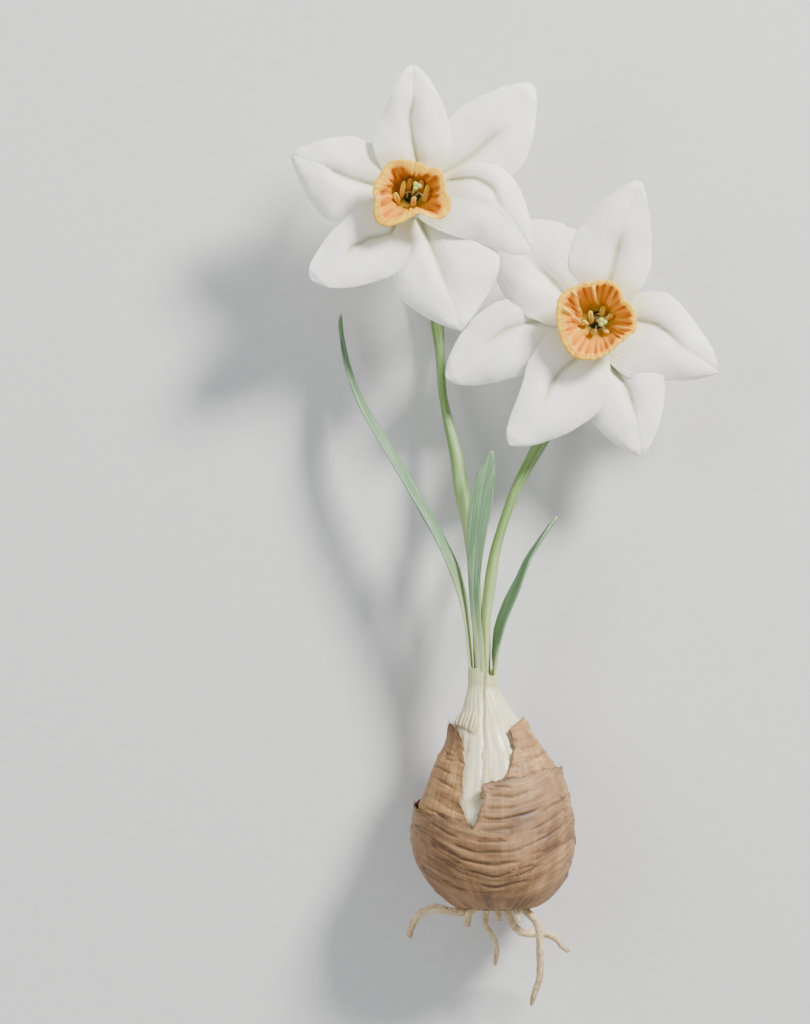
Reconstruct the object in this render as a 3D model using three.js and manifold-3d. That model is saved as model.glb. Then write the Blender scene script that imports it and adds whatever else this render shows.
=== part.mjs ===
// A narcissus lifted with its bulb: two open flowers, three leaves, a bare bulb in torn papery
// tunics, and its roots. The plant lies on its back. Millimetres, +Z up, +Y from the roots to the
// flowers, and z = 0 is the surface that the plant lies on.
import * as THREE from 'three';
import Module from 'manifold-3d';
import { mergeVertices } from 'three/addons/utils/BufferGeometryUtils.js';

const { clamp, degToRad, lerp, smoothstep } = THREE.MathUtils;
const wasm = await Module();
wasm.setup();

// Clearances and wall thicknesses.
const GAP = 0.3;
const TUNIC_INNER_WALL = 0.9;
const TUNIC_OUTER_WALL = 1.2;
const LEAF_THICKNESS = 1.2;
const TEPAL_THICKNESS = 0.8;
const CORONA_WALL = 0.8;
const SPATHE_WALL = 0.7;
const REACH = 200; // longer than the plant: the size of the blocks that trim it
const NUDGE = 1e-3; // a short step along a route, which gives its direction
const ACROSS = new THREE.Vector3(1, 0, 0);
const UP = new THREE.Vector3(0, 0, 1);

// The bulb. Its axis lies this high, so that the widest part rests on a small flat.
const BULB_AXIS_Z = 24.3;
const BULB_DEPTH_RATIO = 0.92;
const BULB_SIDES = 32;
const BULB_ROWS = 14;
// Rows from the neck down: y, half-width, x of the middle.
const BULB_PROFILE = [
  [-49.0, 5.7, -6.9],
  [-55.7, 8.6, -5.6],
  [-60.2, 11.7, -5.0],
  [-66.6, 14.9, -3.9],
  [-73.0, 18.4, -3.4],
  [-79.4, 20.9, -3.4],
  [-85.8, 22.9, -3.8],
  [-92.2, 23.9, -3.9],
  [-98.6, 24.0, -3.7],
  [-105.0, 22.6, -3.3],
  [-110.6, 19.2, -2.7],
  [-114.2, 15.6, -2.4],
  [-116.2, 12.4, -2.4],
];
// The neck is a socket that holds the bases of the leaves and the scapes.
const SOCKET = { x: -6.9, z: 24.2, top: -48, floor: -61, halfWidth: 5, halfDepth: 4.3, sides: 22 };

// Where the tunics are torn, as outlines seen from above. Above its rim a tunic is gone.
const TUNIC_INNER_ROW = 1; // the row of the bulb that each tunic starts at, before it is torn
const TUNIC_OUTER_ROW = 4;
const INNER_RIM_FRONT = [
  [-40, -62.5], [-21.5, -62.5], [-18.4, -58.9], [-16.0, -60.2], [-13.6, -64.2], [-12.8, -68.0],
  [-13.2, -78.0], [-14.2, -85.2], [-13.0, -88.8], [-10.8, -93.0], [-8.0, -88.4], [-4.0, -80.5],
  [1.4, -74.4], [2.6, -67.0], [0.8, -61.6], [5.5, -57.8], [9, -58.4], [40, -58.4],
];
const INNER_RIM_BACK = [
  [-40, -62.5], [-21.5, -62.5], [-15.5, -60.6], [-9.5, -62.6], [-3.5, -60.8], [2, -62.2],
  [5.5, -58.8], [9, -58.4], [40, -58.4],
];
const OUTER_RIM_FRONT = [
  [-40, -85.6], [-30.5, -85.6], [-25.0, -88.0], [-19.5, -88.2], [-14.2, -89.8], [-10.8, -92.6],
  [-8.4, -88.0], [-7.2, -84.0], [-7.4, -78.6], [-1.8, -77.0], [6.5, -75.6], [13.0, -73.4],
  [18.0, -73.6], [40, -73.6],
];
const OUTER_RIM_BACK = [
  [-40, -85.6], [-30.5, -85.6], [-24.5, -83.4], [-17.5, -84.6], [-10, -80.2], [-3, -81.6],
  [4.5, -76.8], [11.5, -77.4], [18.0, -73.6], [40, -73.6],
];

// The basal plate closes the bulb's lower end, and the roots grow from it.
const PLATE = {
  x: -2.6, top: -116.5, foot: -119.4, topRadius: 11.2, middleRadius: 10.6, footRadius: 8.2, sides: 24,
};
const ROOT_SIDES = 6;
// Rows from the plate outwards: x, y, z, radius.
const ROOTS = [
  [[-8.0, -118.0, 24, 1.3], [-11.6, -120.0, 24.4, 1.3], [-17.0, -119.9, 24.5, 1.3],
    [-22.6, -118.9, 24.0, 1.4], [-27.6, -121.2, 22.6, 1.3], [-30.1, -125.4, 20.6, 1.2],
    [-30.3, -128.6, 19.4, 0.8]],
  [[-10.2, -118.0, 27, 1.2], [-11.6, -121.0, 27.4, 1.2], [-12.3, -124.6, 27.2, 1.1]],
  [[-5.4, -118.4, 20, 1.1], [-6.1, -124.2, 18.8, 1.0], [-4.2, -127.4, 18.0, 0.9],
    [-2.6, -132.2, 17.0, 0.8], [-3.1, -137.6, 16.0, 0.6]],
  [[-2.6, -118.4, 26, 1.1], [-2.2, -121.4, 26.6, 1.0], [-1.9, -123.0, 26.8, 0.8]],
  [[0.6, -118.2, 22, 1.3], [2.6, -124.2, 20.4, 1.3], [6.4, -127.0, 19.4, 1.3],
    [12.8, -127.2, 18.8, 1.2], [16.4, -128.8, 18.2, 1.1], [18.4, -131.4, 17.4, 0.9],
    [20.8, -133.2, 16.8, 0.6]],
  [[3.6, -117.8, 26, 1.3], [7.2, -120.2, 27.2, 1.3], [10.4, -124.0, 27.2, 1.3],
    [11.3, -132.0, 25.4, 1.3], [11.2, -140.4, 22.8, 1.2], [9.6, -146.0, 21.0, 1.0],
    [8.3, -150.4, 19.6, 0.6]],
  [[3.4, -118.2, 31, 1.0], [4.0, -121.6, 32.0, 0.9], [4.2, -123.0, 32.2, 0.7]],
];

// Leaves. Rows from the base: x, y, z, half-width, roll in degrees (0 lies flat, 90 stands on
// its edge).
const LEAF_CHANNEL = 0.14; // depth of the shallow channel against the half-width
const LEAF_THINNING = 0.3; // how much thinner a leaf is at its edges, as a share
const LEAF_COLUMNS = 4;
const LEAF_LEFT = [
  [-10.5, -60.0, 24.1, 1.3, 90],
  [-10.7, -49.0, 24.2, 1.4, 90],
  [-11.5, -36.0, 24.4, 2.3, 96],
  [-12.9, -22.0, 24.9, 3.0, 108],
  [-15.8, -11.0, 25.0, 3.4, 118],
  [-20.0, -1.6, 24.6, 3.6, 117],
  [-26.3, 10.0, 23.6, 3.6, 114],
  [-33.8, 22.7, 22.2, 3.6, 116],
  [-38.8, 31.0, 20.6, 3.6, 119],
  [-44.0, 39.5, 18.2, 3.4, 118],
  [-47.5, 46.8, 15.6, 3.1, 114],
  [-50.4, 54.8, 12.6, 2.6, 110],
  [-52.1, 62.6, 9.8, 1.9, 106],
  [-52.8, 68.0, 8.2, 1.2, 104],
  [-52.7, 71.6, 7.4, 0.4, 104],
];
const LEAF_MIDDLE = [
  [-7.6, -60.0, 26.5, 1.4, 8],
  [-7.6, -49.0, 26.8, 1.5, 10],
  [-8.2, -36.2, 27.8, 1.5, 12],
  [-9.5, -23.0, 28.9, 1.7, 16],
  [-9.8, -12.0, 29.5, 2.2, 18],
  [-9.2, -2.0, 30.0, 3.0, 16],
  [-8.4, 6.4, 30.3, 3.6, 12],
  [-7.3, 14.0, 30.3, 3.7, 10],
  [-6.1, 19.6, 30.1, 2.8, 10],
  [-4.8, 24.2, 29.8, 1.5, 10],
  [-4.1, 27.5, 29.5, 0.4, 10],
];
const LEAF_RIGHT = [
  [-3.6, -60.0, 24.1, 1.3, 90],
  [-3.3, -49.0, 24.2, 1.4, 90],
  [-3.3, -41.6, 24.3, 2.1, 82],
  [-2.9, -36.0, 24.6, 2.6, 68],
  [-1.6, -29.0, 25.0, 3.1, 60],
  [1.0, -21.8, 25.3, 3.3, 60],
  [4.3, -14.6, 25.2, 3.3, 65],
  [7.2, -7.6, 24.6, 2.9, 68],
  [10.4, -2.2, 23.6, 2.3, 70],
  [13.8, 2.8, 22.2, 1.5, 70],
  [16.6, 6.4, 21.0, 0.4, 70],
];

// Scapes with their pedicels and ovaries. Rows from the base: x, y, z, half-width, half-depth.
const SCAPE_SIDES = 10;
const SCAPE_LEFT = [
  [-8.6, -60.2, 22.9, 1.0, 1.8],
  [-8.65, -49.0, 22.9, 1.0, 1.9],
  [-8.9, -36.2, 22.8, 1.2, 2.1],
  [-9.1, -23.4, 22.4, 1.5, 2.2],
  [-9.9, -10.0, 21.2, 1.8, 2.2],
  [-11.6, 3.4, 19.4, 2.0, 2.3],
  [-13.9, 15.0, 17.4, 2.3, 2.4],
  [-15.4, 25.3, 15.2, 2.0, 2.3],
  [-18.1, 36.7, 12.4, 1.5, 2.1],
  [-20.0, 47.0, 9.8, 1.2, 1.9],
  [-20.6, 58.0, 7.2, 1.4, 1.9],
  [-21.6, 68.0, 5.0, 1.9, 2.1],
  [-23.2, 80.0, 3.1, 2.1, 2.2],
  [-25.4, 91.0, 1.8, 1.9, 2.0],
  [-28.0, 101.2, 2.6, 1.6, 1.7],
  [-29.4, 107.6, 6.2, 1.6, 1.6],
  [-29.8, 109.4, 11.4, 1.9, 1.9],
  [-29.8, 109.4, 14.6, 2.9, 2.9],
  [-29.8, 109.4, 17.8, 3.2, 3.2],
  [-29.8, 109.4, 20.6, 2.7, 2.7],
  [-29.8, 109.4, 22.0, 2.2, 2.2],
];
const SCAPE_RIGHT = [
  [-6.0, -60.2, 22.9, 1.0, 1.8],
  [-5.95, -49.0, 22.9, 1.0, 1.9],
  [-5.9, -36.2, 22.8, 1.2, 2.1],
  [-6.0, -26.2, 22.5, 1.4, 2.2],
  [-4.9, -16.0, 21.8, 1.8, 2.3],
  [-3.3, -5.6, 20.4, 1.6, 2.2],
  [-0.6, 4.0, 18.6, 1.4, 2.0],
  [3.0, 13.8, 16.0, 1.5, 2.0],
  [7.2, 22.4, 13.0, 1.8, 2.2],
  [12.2, 31.2, 9.4, 2.1, 2.3],
  [17.6, 40.6, 5.4, 2.2, 2.3],
  [23.0, 51.4, 1.9, 2.0, 2.1],
  [27.0, 60.6, 2.0, 1.7, 1.8],
  [29.2, 67.0, 4.4, 1.6, 1.6],
  [29.4, 69.4, 7.4, 2.0, 2.0],
  [29.4, 69.4, 9.6, 2.8, 2.8],
  [29.4, 69.4, 12.0, 3.0, 3.0],
  [29.4, 69.4, 14.2, 2.2, 2.2],
];

// Spathes: a papery bract over the top of each scape. Shares of the scape's length, 0 to 1.
// It wraps this many degrees of the scape at its base and at its tip.
const SPATHE = { columns: 8, rows: 8, spread: 215, tip: 30, clearance: 0.45, swell: 1.3 };
const SPATHE_LEFT_SPAN = [0.565, 0.685];
const SPATHE_RIGHT_SPAN = [0.565, 0.705];

// Flowers. The middle of each lies here, and its tepals spread at this height.
const BLOOM_LEFT = { x: -29.8, y: 109.4, z: 38 };
const BLOOM_RIGHT = { x: 29.3, y: 69.4, z: 27 };
const TEPAL_ROWS = 9;
const TEPAL_COLUMNS = 6;
const TEPAL_START = 3; // distance of a tepal's root from the flower's axis
const TEPAL_LAYER = 1.3; // rise from one layer of tepals to the next
const TEPAL_SEATED = 0.3; // the share of its length over which it rises to its layer
const TEPAL_STACK = 0.04; // keeps neighbours of one layer off one plane
const TEPAL_CREASE = { depth: 0.7, width: 0.22 }; // the fold along the midrib
const TEPAL_BEND = { from: 0.35, to: 1.15 }; // shares of its length between which the tip lifts
const TEPAL_NECK = 0.36; // half-width at the root against the widest
const TEPAL_SHOULDER = 0.8; // under 1, it widens early
const TEPAL_CUT = 0.985; // keeps the tip from running out to nothing
const TUBE_SIDES = 20;
const POCKET = { radius: 3.0, depth: 8, mouth: 1.5 };
// The tube under the tepals, below its open pocket: share of its length, radius. Then its flare.
const TUBE_FOOT = [[1, 2.3], [0.78, 2.9]];
const TUBE_FLARE = [[-6.9, 4.0], [-3.2, 4.7], [-0.5, 7.2], [0.35, 7.2]];
// Each tepal: angle of its tip, length, half-width, place of the widest part, sideways sway,
// taper towards the tip (1 narrows evenly, more keeps it wide), bluntness of the tip, layer (2 is
// the front), lift of the tip.
const TEPALS_LEFT = [
  [89.6, 41.1, 12.6, 0.38, 0.2, 1.15, 0.6, 2, 3],
  [42.0, 52.2, 13.4, 0.5, -3.5, 1.5, 0.7, 0, 1],
  [-25.2, 42.1, 12.8, 0.42, 6.7, 1.5, 0.6, 2, -1],
  [-70.2, 46.3, 17.0, 0.57, 1.9, 1.5, 0.9, 0, 2],
  [-139.2, 42.2, 11.9, 0.45, 4.2, 1.4, 0.55, 2, 3],
  [161.7, 40.8, 13.9, 0.52, 2.2, 1.5, 0.85, 0, 0],
].map(tepalSpec);
const TEPALS_RIGHT = [
  [73.3, 46.8, 13.3, 0.42, 1.9, 1.2, 0.7, 2, 4],
  [-22.7, 42.6, 15.0, 0.38, 2.0, 1.15, 0.85, 1, -2],
  [-71.8, 46.1, 13.8, 0.5, 0.8, 1.5, 0.8, 0, 1],
  [-124.8, 48.7, 14.0, 0.44, 3.4, 1.15, 0.6, 2, 3],
  [-159.3, 51.6, 12.4, 0.53, -4.3, 1.5, 0.6, 0, 0],
  [137.9, 45.3, 15.7, 0.5, -1.0, 1.5, 0.75, 1, -3],
].map(tepalSpec);

// Coronas. The rim's outline seen from the front: angle, radius.
const CORONA_COLUMNS = 40;
const CORONA_FOOT = 0.8; // height of the cup's lower edge over the tepals' plane
// The cup's side from its foot to the rim: height, radius, how far it takes the rim's outline.
const CORONA_PROFILE = [
  [0, 4.6, 0], [2.2, 6.2, 0.05], [5.2, 7.4, 0.2], [8.2, 8.4, 0.5], [9.9, 9.6, 0.8], [10.5, 11.4, 1],
];
const CORONA_UPTURN = 0.22; // how much a narrow stretch of the rim stands higher than a wide one
const CORONA_MEAN = 11.5; // the rim radius that stands at the profile's own height
const CORONA_RIM_LEFT = [
  [-20, 13.3], [5, 10.5], [29, 11.6], [42, 11.6], [57, 9.6], [85, 10.1], [112, 11.4], [125, 12.2],
  [150, 11.8], [177, 12.6], [190, 11.6], [207, 13.6], [221, 14.4], [233, 13.4], [246, 10.7],
  [264, 8.0], [284, 6.7], [300, 7.9], [312, 11.2], [323, 12.9],
];
const CORONA_RIM_RIGHT = [
  [-15, 12.9], [-31, 11.0], [-52, 10.4], [-83, 11.9], [-112, 13.7], [-125, 14.1], [-142, 13.4],
  [-171, 12.7], [-190, 13.2], [-210, 14.2], [-236, 12.8], [-265, 12.0], [-284, 13.1], [-306, 12.6],
  [-322, 10.4], [-335, 11.7], [-352, 12.5],
];

// Stamens and pistil, inside the tube and the cup. The anthers start at this height, and every
// other one stands higher by the stagger. Rows up a stamen: how far it leans out as a share,
// height as a share of the anther, radius.
const STAMEN = { count: 6, circle: 1.9, start: 0.8, length: 6, lean: 1.5, stagger: 1.4, sides: 5 };
const STAMEN_ROWS = [[0, -0.1, 0.4], [0.07, 0, 0.5], [0.27, 0.17, 0.95], [0.7, 0.6, 0.95], [1, 1, 0.4]];
const STAMEN_FOOT = { outer: 2.6, inner: 1.0, height: 1, sides: 12 };
const PISTIL = { style: 0.6, stigma: 1.1, top: 9.5, lobes: 3, lobeCircle: 0.77 };
const POCKET_FLOOR = POCKET.mouth - POCKET.depth + GAP;

const COLOURS = {
  scale: [0xe9e2c4, 0.62],
  tunicInner: [0xa9784a, 0.7],
  tunicOuter: [0x85522c, 0.72],
  root: [0xd8c9a3, 0.7],
  leaf: [0x5f8352, 0.5],
  scape: [0x7d9a4f, 0.45],
  spathe: [0xc0a678, 0.75],
  tepal: [0xf6f2df, 0.5],
  corona: [0xf2a71b, 0.5],
  anther: [0xe8b93a, 0.75],
  pistil: [0xcfd98a, 0.5],
};

// Smooth values through a list of rows, each column on its own. The share runs from 0 to 1.
function through(rows) {
  const last = rows.length - 1;
  const row = (i) => rows[clamp(i, 0, last)];
  return (share) => {
    const i = Math.min(Math.floor(share * last), last - 1);
    const f = share * last - i;
    return rows[i].map((value, k) => {
      const slopeHere = (row(i + 1)[k] - row(i - 1)[k]) / 2;
      const slopeNext = (row(i + 2)[k] - row(i)[k]) / 2;
      const step = row(i + 1)[k] - value;
      const bend = 3 * step - 2 * slopeHere - slopeNext;
      const twist = slopeHere + slopeNext - 2 * step;
      return value + f * (slopeHere + f * (bend + f * twist));
    });
  };
}

// The point of a route at a share of its length, and two directions across it. The first lies as
// near to the reference as it can.
function station(route, share, reference) {
  const before = new THREE.Vector3(...route(Math.max(share - NUDGE, 0)));
  const after = new THREE.Vector3(...route(Math.min(share + NUDGE, 1)));
  const ahead = after.sub(before).normalize();
  const side = reference.clone().addScaledVector(ahead, -reference.dot(ahead)).normalize();
  const up = new THREE.Vector3().crossVectors(side, ahead);
  return { point: new THREE.Vector3(...route(share)), side, up, values: route(share) };
}

function closedGeometry(points, faces) {
  const geometry = new THREE.BufferGeometry();
  geometry.setAttribute('position', new THREE.BufferAttribute(
    new Float32Array(points.flatMap((point) => point.toArray())), 3));
  let volume = 0;
  for (const [a, b, c] of faces) {
    volume += points[a].dot(new THREE.Vector3().crossVectors(points[b], points[c]));
  }
  geometry.setIndex(faces.flatMap(([a, b, c]) => (volume > 0 ? [a, b, c] : [a, c, b])));
  return geometry;
}

// A blade or shell between two like grids of points. Both faces are split along the same
// diagonals. A wrapped one closes on itself round its columns.
function sheet(front, back, wrapped = false) {
  const rows = front.length;
  const columns = front[0].length;
  const spans = wrapped ? columns : columns - 1;
  const at = (face, i, j) => (face * rows + i) * columns + (j % columns);
  const faces = [];
  const wall = (a, b, c, d) => faces.push([a, b, c], [a, c, d]);
  for (let i = 0; i < rows - 1; i += 1) {
    for (let j = 0; j < spans; j += 1) {
      wall(at(0, i, j), at(0, i + 1, j), at(0, i + 1, j + 1), at(0, i, j + 1));
      wall(at(1, i, j), at(1, i, j + 1), at(1, i + 1, j + 1), at(1, i + 1, j));
    }
  }
  for (let j = 0; j < spans; j += 1) {
    const end = rows - 1;
    wall(at(0, 0, j), at(0, 0, j + 1), at(1, 0, j + 1), at(1, 0, j));
    wall(at(0, end, j + 1), at(0, end, j), at(1, end, j), at(1, end, j + 1));
  }
  for (let i = 0; i < rows - 1 && !wrapped; i += 1) {
    wall(at(0, i + 1, 0), at(0, i, 0), at(1, i, 0), at(1, i + 1, 0));
    wall(at(0, i, spans), at(0, i + 1, spans), at(1, i + 1, spans), at(1, i, spans));
  }
  return closedGeometry([...front.flat(), ...back.flat()], faces);
}

// A solid through closed rings of equal count, capped at both ends.
function loft(rings) {
  const count = rings[0].length;
  const points = rings.flat();
  const middle = (ring) => ring.reduce((sum, p) => sum.add(p), new THREE.Vector3())
    .divideScalar(count);
  const first = points.push(middle(rings[0])) - 1;
  const last = points.push(middle(rings.at(-1))) - 1;
  const faces = [];
  for (let j = 0; j < count; j += 1) {
    const next = (j + 1) % count;
    for (let i = 0; i < rings.length - 1; i += 1) {
      const [low, high] = [i * count, (i + 1) * count];
      faces.push([low + j, low + next, high + next], [low + j, high + next, high + j]);
    }
    const top = (rings.length - 1) * count;
    faces.push([first, next, j], [last, top + j, top + next]);
  }
  return closedGeometry(points, faces);
}

// A round or oval stem along a route whose fourth and fifth columns are its radii.
function stem(rows, steps, sides, reference) {
  const route = through(rows);
  const rings = [];
  for (let i = 0; i <= steps; i += 1) {
    const { point, side, up, values } = station(route, i / steps, reference);
    const [, , , wide, deep = wide] = values;
    rings.push(Array.from({ length: sides }, (_, k) => {
      const angle = (k / sides) * 2 * Math.PI;
      return point.clone().addScaledVector(side, wide * Math.cos(angle))
        .addScaledVector(up, deep * Math.sin(angle));
    }));
  }
  return loft(rings);
}

// An upright oval ring of points, square to the plant's length.
function ovalRing(x, y, z, halfWidth, halfDepth, sides) {
  return Array.from({ length: sides }, (_, k) => {
    const angle = (k / sides) * 2 * Math.PI;
    return new THREE.Vector3(x + halfWidth * Math.cos(angle), y, z + halfDepth * Math.sin(angle));
  });
}

function solid(geometry) {
  const bare = geometry.clone();
  bare.deleteAttribute('normal');
  bare.deleteAttribute('uv');
  const merged = mergeVertices(bare);
  return new wasm.Manifold(new wasm.Mesh({
    numProp: 3,
    vertProperties: merged.attributes.position.array,
    triVerts: new Uint32Array(merged.index.array),
  }));
}

function geometryOf(body) {
  const mesh = body.getMesh();
  const geometry = new THREE.BufferGeometry();
  geometry.setAttribute('position', new THREE.BufferAttribute(mesh.vertProperties, 3));
  geometry.setIndex(new THREE.BufferAttribute(mesh.triVerts, 1));
  return geometry;
}

// A profile of heights and radii, turned round the vertical axis.
function turned(profile, sides) {
  const geometry = new THREE.LatheGeometry(profile.map(([z, r]) => new THREE.Vector2(r, z)), sides);
  return geometry.rotateX(Math.PI / 2);
}

const fused = (geometries) => geometries.map(solid).reduce((sum, body) => sum.add(body));

// What lies below the surface is cut away, which leaves the small flats that the plant rests on.
function restOnSurface(body) {
  const ground = new THREE.BoxGeometry(2 * REACH, 2 * REACH, REACH);
  ground.translate(0, 0, -REACH / 2);
  return geometryOf(body.subtract(solid(ground)));
}

function piece(name, geometry, [colour, roughness]) {
  geometry.computeVertexNormals();
  const material = new THREE.MeshStandardMaterial({ color: colour, roughness, metalness: 0 });
  const mesh = new THREE.Mesh(geometry, material);
  mesh.name = name;
  return mesh;
}

// Rings round the bulb, moved out from its profile by an offset, from one of its rows down.
function bulbRings(offset = 0, firstRow = 0) {
  const profile = through(BULB_PROFILE);
  const rings = [];
  for (let row = firstRow; row <= BULB_ROWS; row += 1) {
    const share = row / BULB_ROWS;
    const [y, halfWidth, x] = profile(share);
    const [y0, w0] = profile(Math.max(share - NUDGE, 0));
    const [y1, w1] = profile(Math.min(share + NUDGE, 1));
    const out = new THREE.Vector2(w1 - w0, y0 - y1).normalize().multiplyScalar(offset);
    rings.push(ovalRing(x, y + out.x, BULB_AXIS_Z, halfWidth + out.y,
      BULB_DEPTH_RATIO * halfWidth + out.y, BULB_SIDES));
  }
  return rings;
}

function bulbScales() {
  const socket = [SOCKET.top, SOCKET.floor].map((y) => (
    ovalRing(SOCKET.x, y, SOCKET.z, SOCKET.halfWidth, SOCKET.halfDepth, SOCKET.sides)));
  return geometryOf(solid(loft(bulbRings())).subtract(solid(loft(socket))));
}

// A block over everything above a rim line, in front of the bulb's axis or behind it.
function tornAway(rim, inFront) {
  const outline = new THREE.Shape(rim.map(([x, y]) => new THREE.Vector2(x, y)));
  outline.lineTo(rim.at(-1)[0], 0);
  outline.lineTo(rim[0][0], 0);
  const block = new THREE.ExtrudeGeometry(outline, { depth: REACH, bevelEnabled: false });
  block.translate(0, 0, inFront ? BULB_AXIS_Z : BULB_AXIS_Z - REACH);
  return solid(block);
}

function tunic(offset, wall, row, rimFront, rimBack) {
  const shell = sheet(bulbRings(offset + wall, row), bulbRings(offset, row), true);
  return restOnSurface(solid(shell).subtract(tornAway(rimFront, true))
    .subtract(tornAway(rimBack, false)));
}

function plateAndRoots() {
  const ring = (y, radius) => (
    ovalRing(PLATE.x, y, BULB_AXIS_Z, radius, BULB_DEPTH_RATIO * radius, PLATE.sides));
  const middle = lerp(PLATE.top, PLATE.foot, 0.5);
  const plate = loft([ring(PLATE.top, PLATE.topRadius), ring(middle, PLATE.middleRadius),
    ring(PLATE.foot, PLATE.footRadius)]);
  const roots = ROOTS.map((rows) => stem(rows, 2 * (rows.length - 1), ROOT_SIDES, UP));
  return geometryOf(fused([plate, ...roots]));
}

// A strap leaf with a shallow channel, along a route with a half-width and a roll.
function leaf(rows, steps) {
  const route = through(rows);
  const faces = [[], []];
  for (let i = 0; i <= steps; i += 1) {
    const { point, side, up, values } = station(route, i / steps, ACROSS);
    const [, , , halfWidth, roll] = values;
    const turn = degToRad(roll);
    const across = side.clone().multiplyScalar(Math.cos(turn)).addScaledVector(up, Math.sin(turn));
    const out = up.clone().multiplyScalar(Math.cos(turn)).addScaledVector(side, -Math.sin(turn));
    faces.forEach((face, which) => {
      face.push(Array.from({ length: LEAF_COLUMNS + 1 }, (_, k) => {
        const v = (2 * k) / LEAF_COLUMNS - 1;
        const channel = LEAF_CHANNEL * halfWidth * (v * v - 0.5);
        const half = (0.5 - which) * LEAF_THICKNESS * (1 - LEAF_THINNING * v * v);
        return point.clone().addScaledVector(across, halfWidth * v)
          .addScaledVector(out, channel + half);
      }));
    });
  }
  return sheet(...faces);
}

// A bract that wraps the upper side of a scape between two shares of its length.
function spathe(scapeRows, [from, to]) {
  const route = through(scapeRows);
  const faces = [[], []];
  for (let i = 0; i <= SPATHE.rows; i += 1) {
    const along = i / SPATHE.rows;
    const { point, side, up, values } = station(route, lerp(from, to, along), ACROSS);
    const [, , , wide, deep] = values;
    const spread = degToRad(lerp(SPATHE.spread, SPATHE.tip, along ** 2));
    const rise = SPATHE.clearance + SPATHE.swell * Math.sin(Math.PI * along) ** 2;
    faces.forEach((face, which) => {
      face.push(Array.from({ length: SPATHE.columns + 1 }, (_, k) => {
        const angle = Math.PI / 2 + spread * (k / SPATHE.columns - 0.5);
        const off = rise + (1 - which) * SPATHE_WALL;
        return point.clone().addScaledVector(side, (wide + off) * Math.cos(angle))
          .addScaledVector(up, (deep + off) * Math.sin(angle));
      }));
    });
  }
  return sheet(...faces);
}

function tepalSpec([angle, length, width, peak, sway, taper, blunt, layer, lift]) {
  return { angle, length, width, peak, sway, taper, blunt, layer, lift };
}

// A tepal's half-width at a share of its length.
function tepalHalfWidth({ width, peak, taper, blunt }, along) {
  if (along < peak) {
    const swell = Math.sin((Math.PI / 2) * (along / peak) ** TEPAL_SHOULDER);
    return width * lerp(TEPAL_NECK, 1, swell);
  }
  const past = Math.min((along - peak) / (1 - peak), TEPAL_CUT);
  return width * (1 - past ** taper) ** blunt;
}

// The front of a tepal, at a share of its length and from -1 to 1 across it.
function tepalPoint(spec, along, across, order) {
  const angle = degToRad(spec.angle);
  const radius = lerp(TEPAL_START, spec.length, along);
  const sideways = spec.sway * Math.sin(Math.PI * along) + across * tepalHalfWidth(spec, along);
  const layer = spec.layer * TEPAL_LAYER * smoothstep(along, 0, TEPAL_SEATED) + TEPAL_STACK * order;
  const fold = Math.exp(-((across / TEPAL_CREASE.width) ** 2)) * Math.sin(Math.PI * along);
  const lift = spec.lift * smoothstep(along, TEPAL_BEND.from, TEPAL_BEND.to);
  return new THREE.Vector3(radius * Math.cos(angle) - sideways * Math.sin(angle),
    radius * Math.sin(angle) + sideways * Math.cos(angle), layer - TEPAL_CREASE.depth * fold + lift);
}

function tepals(specs, tubeLength) {
  const blades = specs.map((spec, order) => {
    const face = (drop) => Array.from({ length: TEPAL_ROWS + 1 }, (_, i) => (
      Array.from({ length: TEPAL_COLUMNS + 1 }, (__, k) => {
        const point = tepalPoint(spec, i / TEPAL_ROWS, (2 * k) / TEPAL_COLUMNS - 1, order);
        point.z -= drop;
        return point;
      })));
    return sheet(face(0), face(TEPAL_THICKNESS));
  });
  const side = [...TUBE_FOOT.map(([share, radius]) => [-share * tubeLength, radius]), ...TUBE_FLARE];
  const tube = turned([[side[0][0], 0], ...side, [side.at(-1)[0], 0]], TUBE_SIDES);
  const pocket = new THREE.CylinderGeometry(POCKET.radius, POCKET.radius, POCKET.depth, TUBE_SIDES);
  pocket.rotateX(Math.PI / 2);
  pocket.translate(0, 0, POCKET.mouth - POCKET.depth / 2);
  return geometryOf(fused([tube, ...blades]).subtract(solid(pocket)));
}

// The cup's wall: its profile is turned round the axis and drawn out to the rim's outline.
function corona(rim) {
  const outline = new THREE.CatmullRomCurve3(rim.map(([angle, radius]) => new THREE.Vector3(
    radius * Math.cos(degToRad(angle)), radius * Math.sin(degToRad(angle)), 0)), true);
  const edge = outline.getSpacedPoints(CORONA_COLUMNS).slice(0, CORONA_COLUMNS);
  const face = (inset) => CORONA_PROFILE.map((_, i) => edge.map((tip) => {
    const rimRadius = Math.hypot(tip.x, tip.y);
    const at = (k) => {
      const [height, radius, share] = CORONA_PROFILE[clamp(k, 0, CORONA_PROFILE.length - 1)];
      const upturn = CORONA_UPTURN * share * (CORONA_MEAN - rimRadius);
      return new THREE.Vector2(lerp(radius, rimRadius, share), height + upturn);
    };
    const run = at(i + 1).sub(at(i - 1)).normalize();
    const here = at(i);
    const radius = here.x - inset * run.y;
    return new THREE.Vector3((tip.x / rimRadius) * radius, (tip.y / rimRadius) * radius,
      CORONA_FOOT + here.y + inset * run.x);
  }));
  return sheet(face(0), face(CORONA_WALL), true);
}

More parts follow.
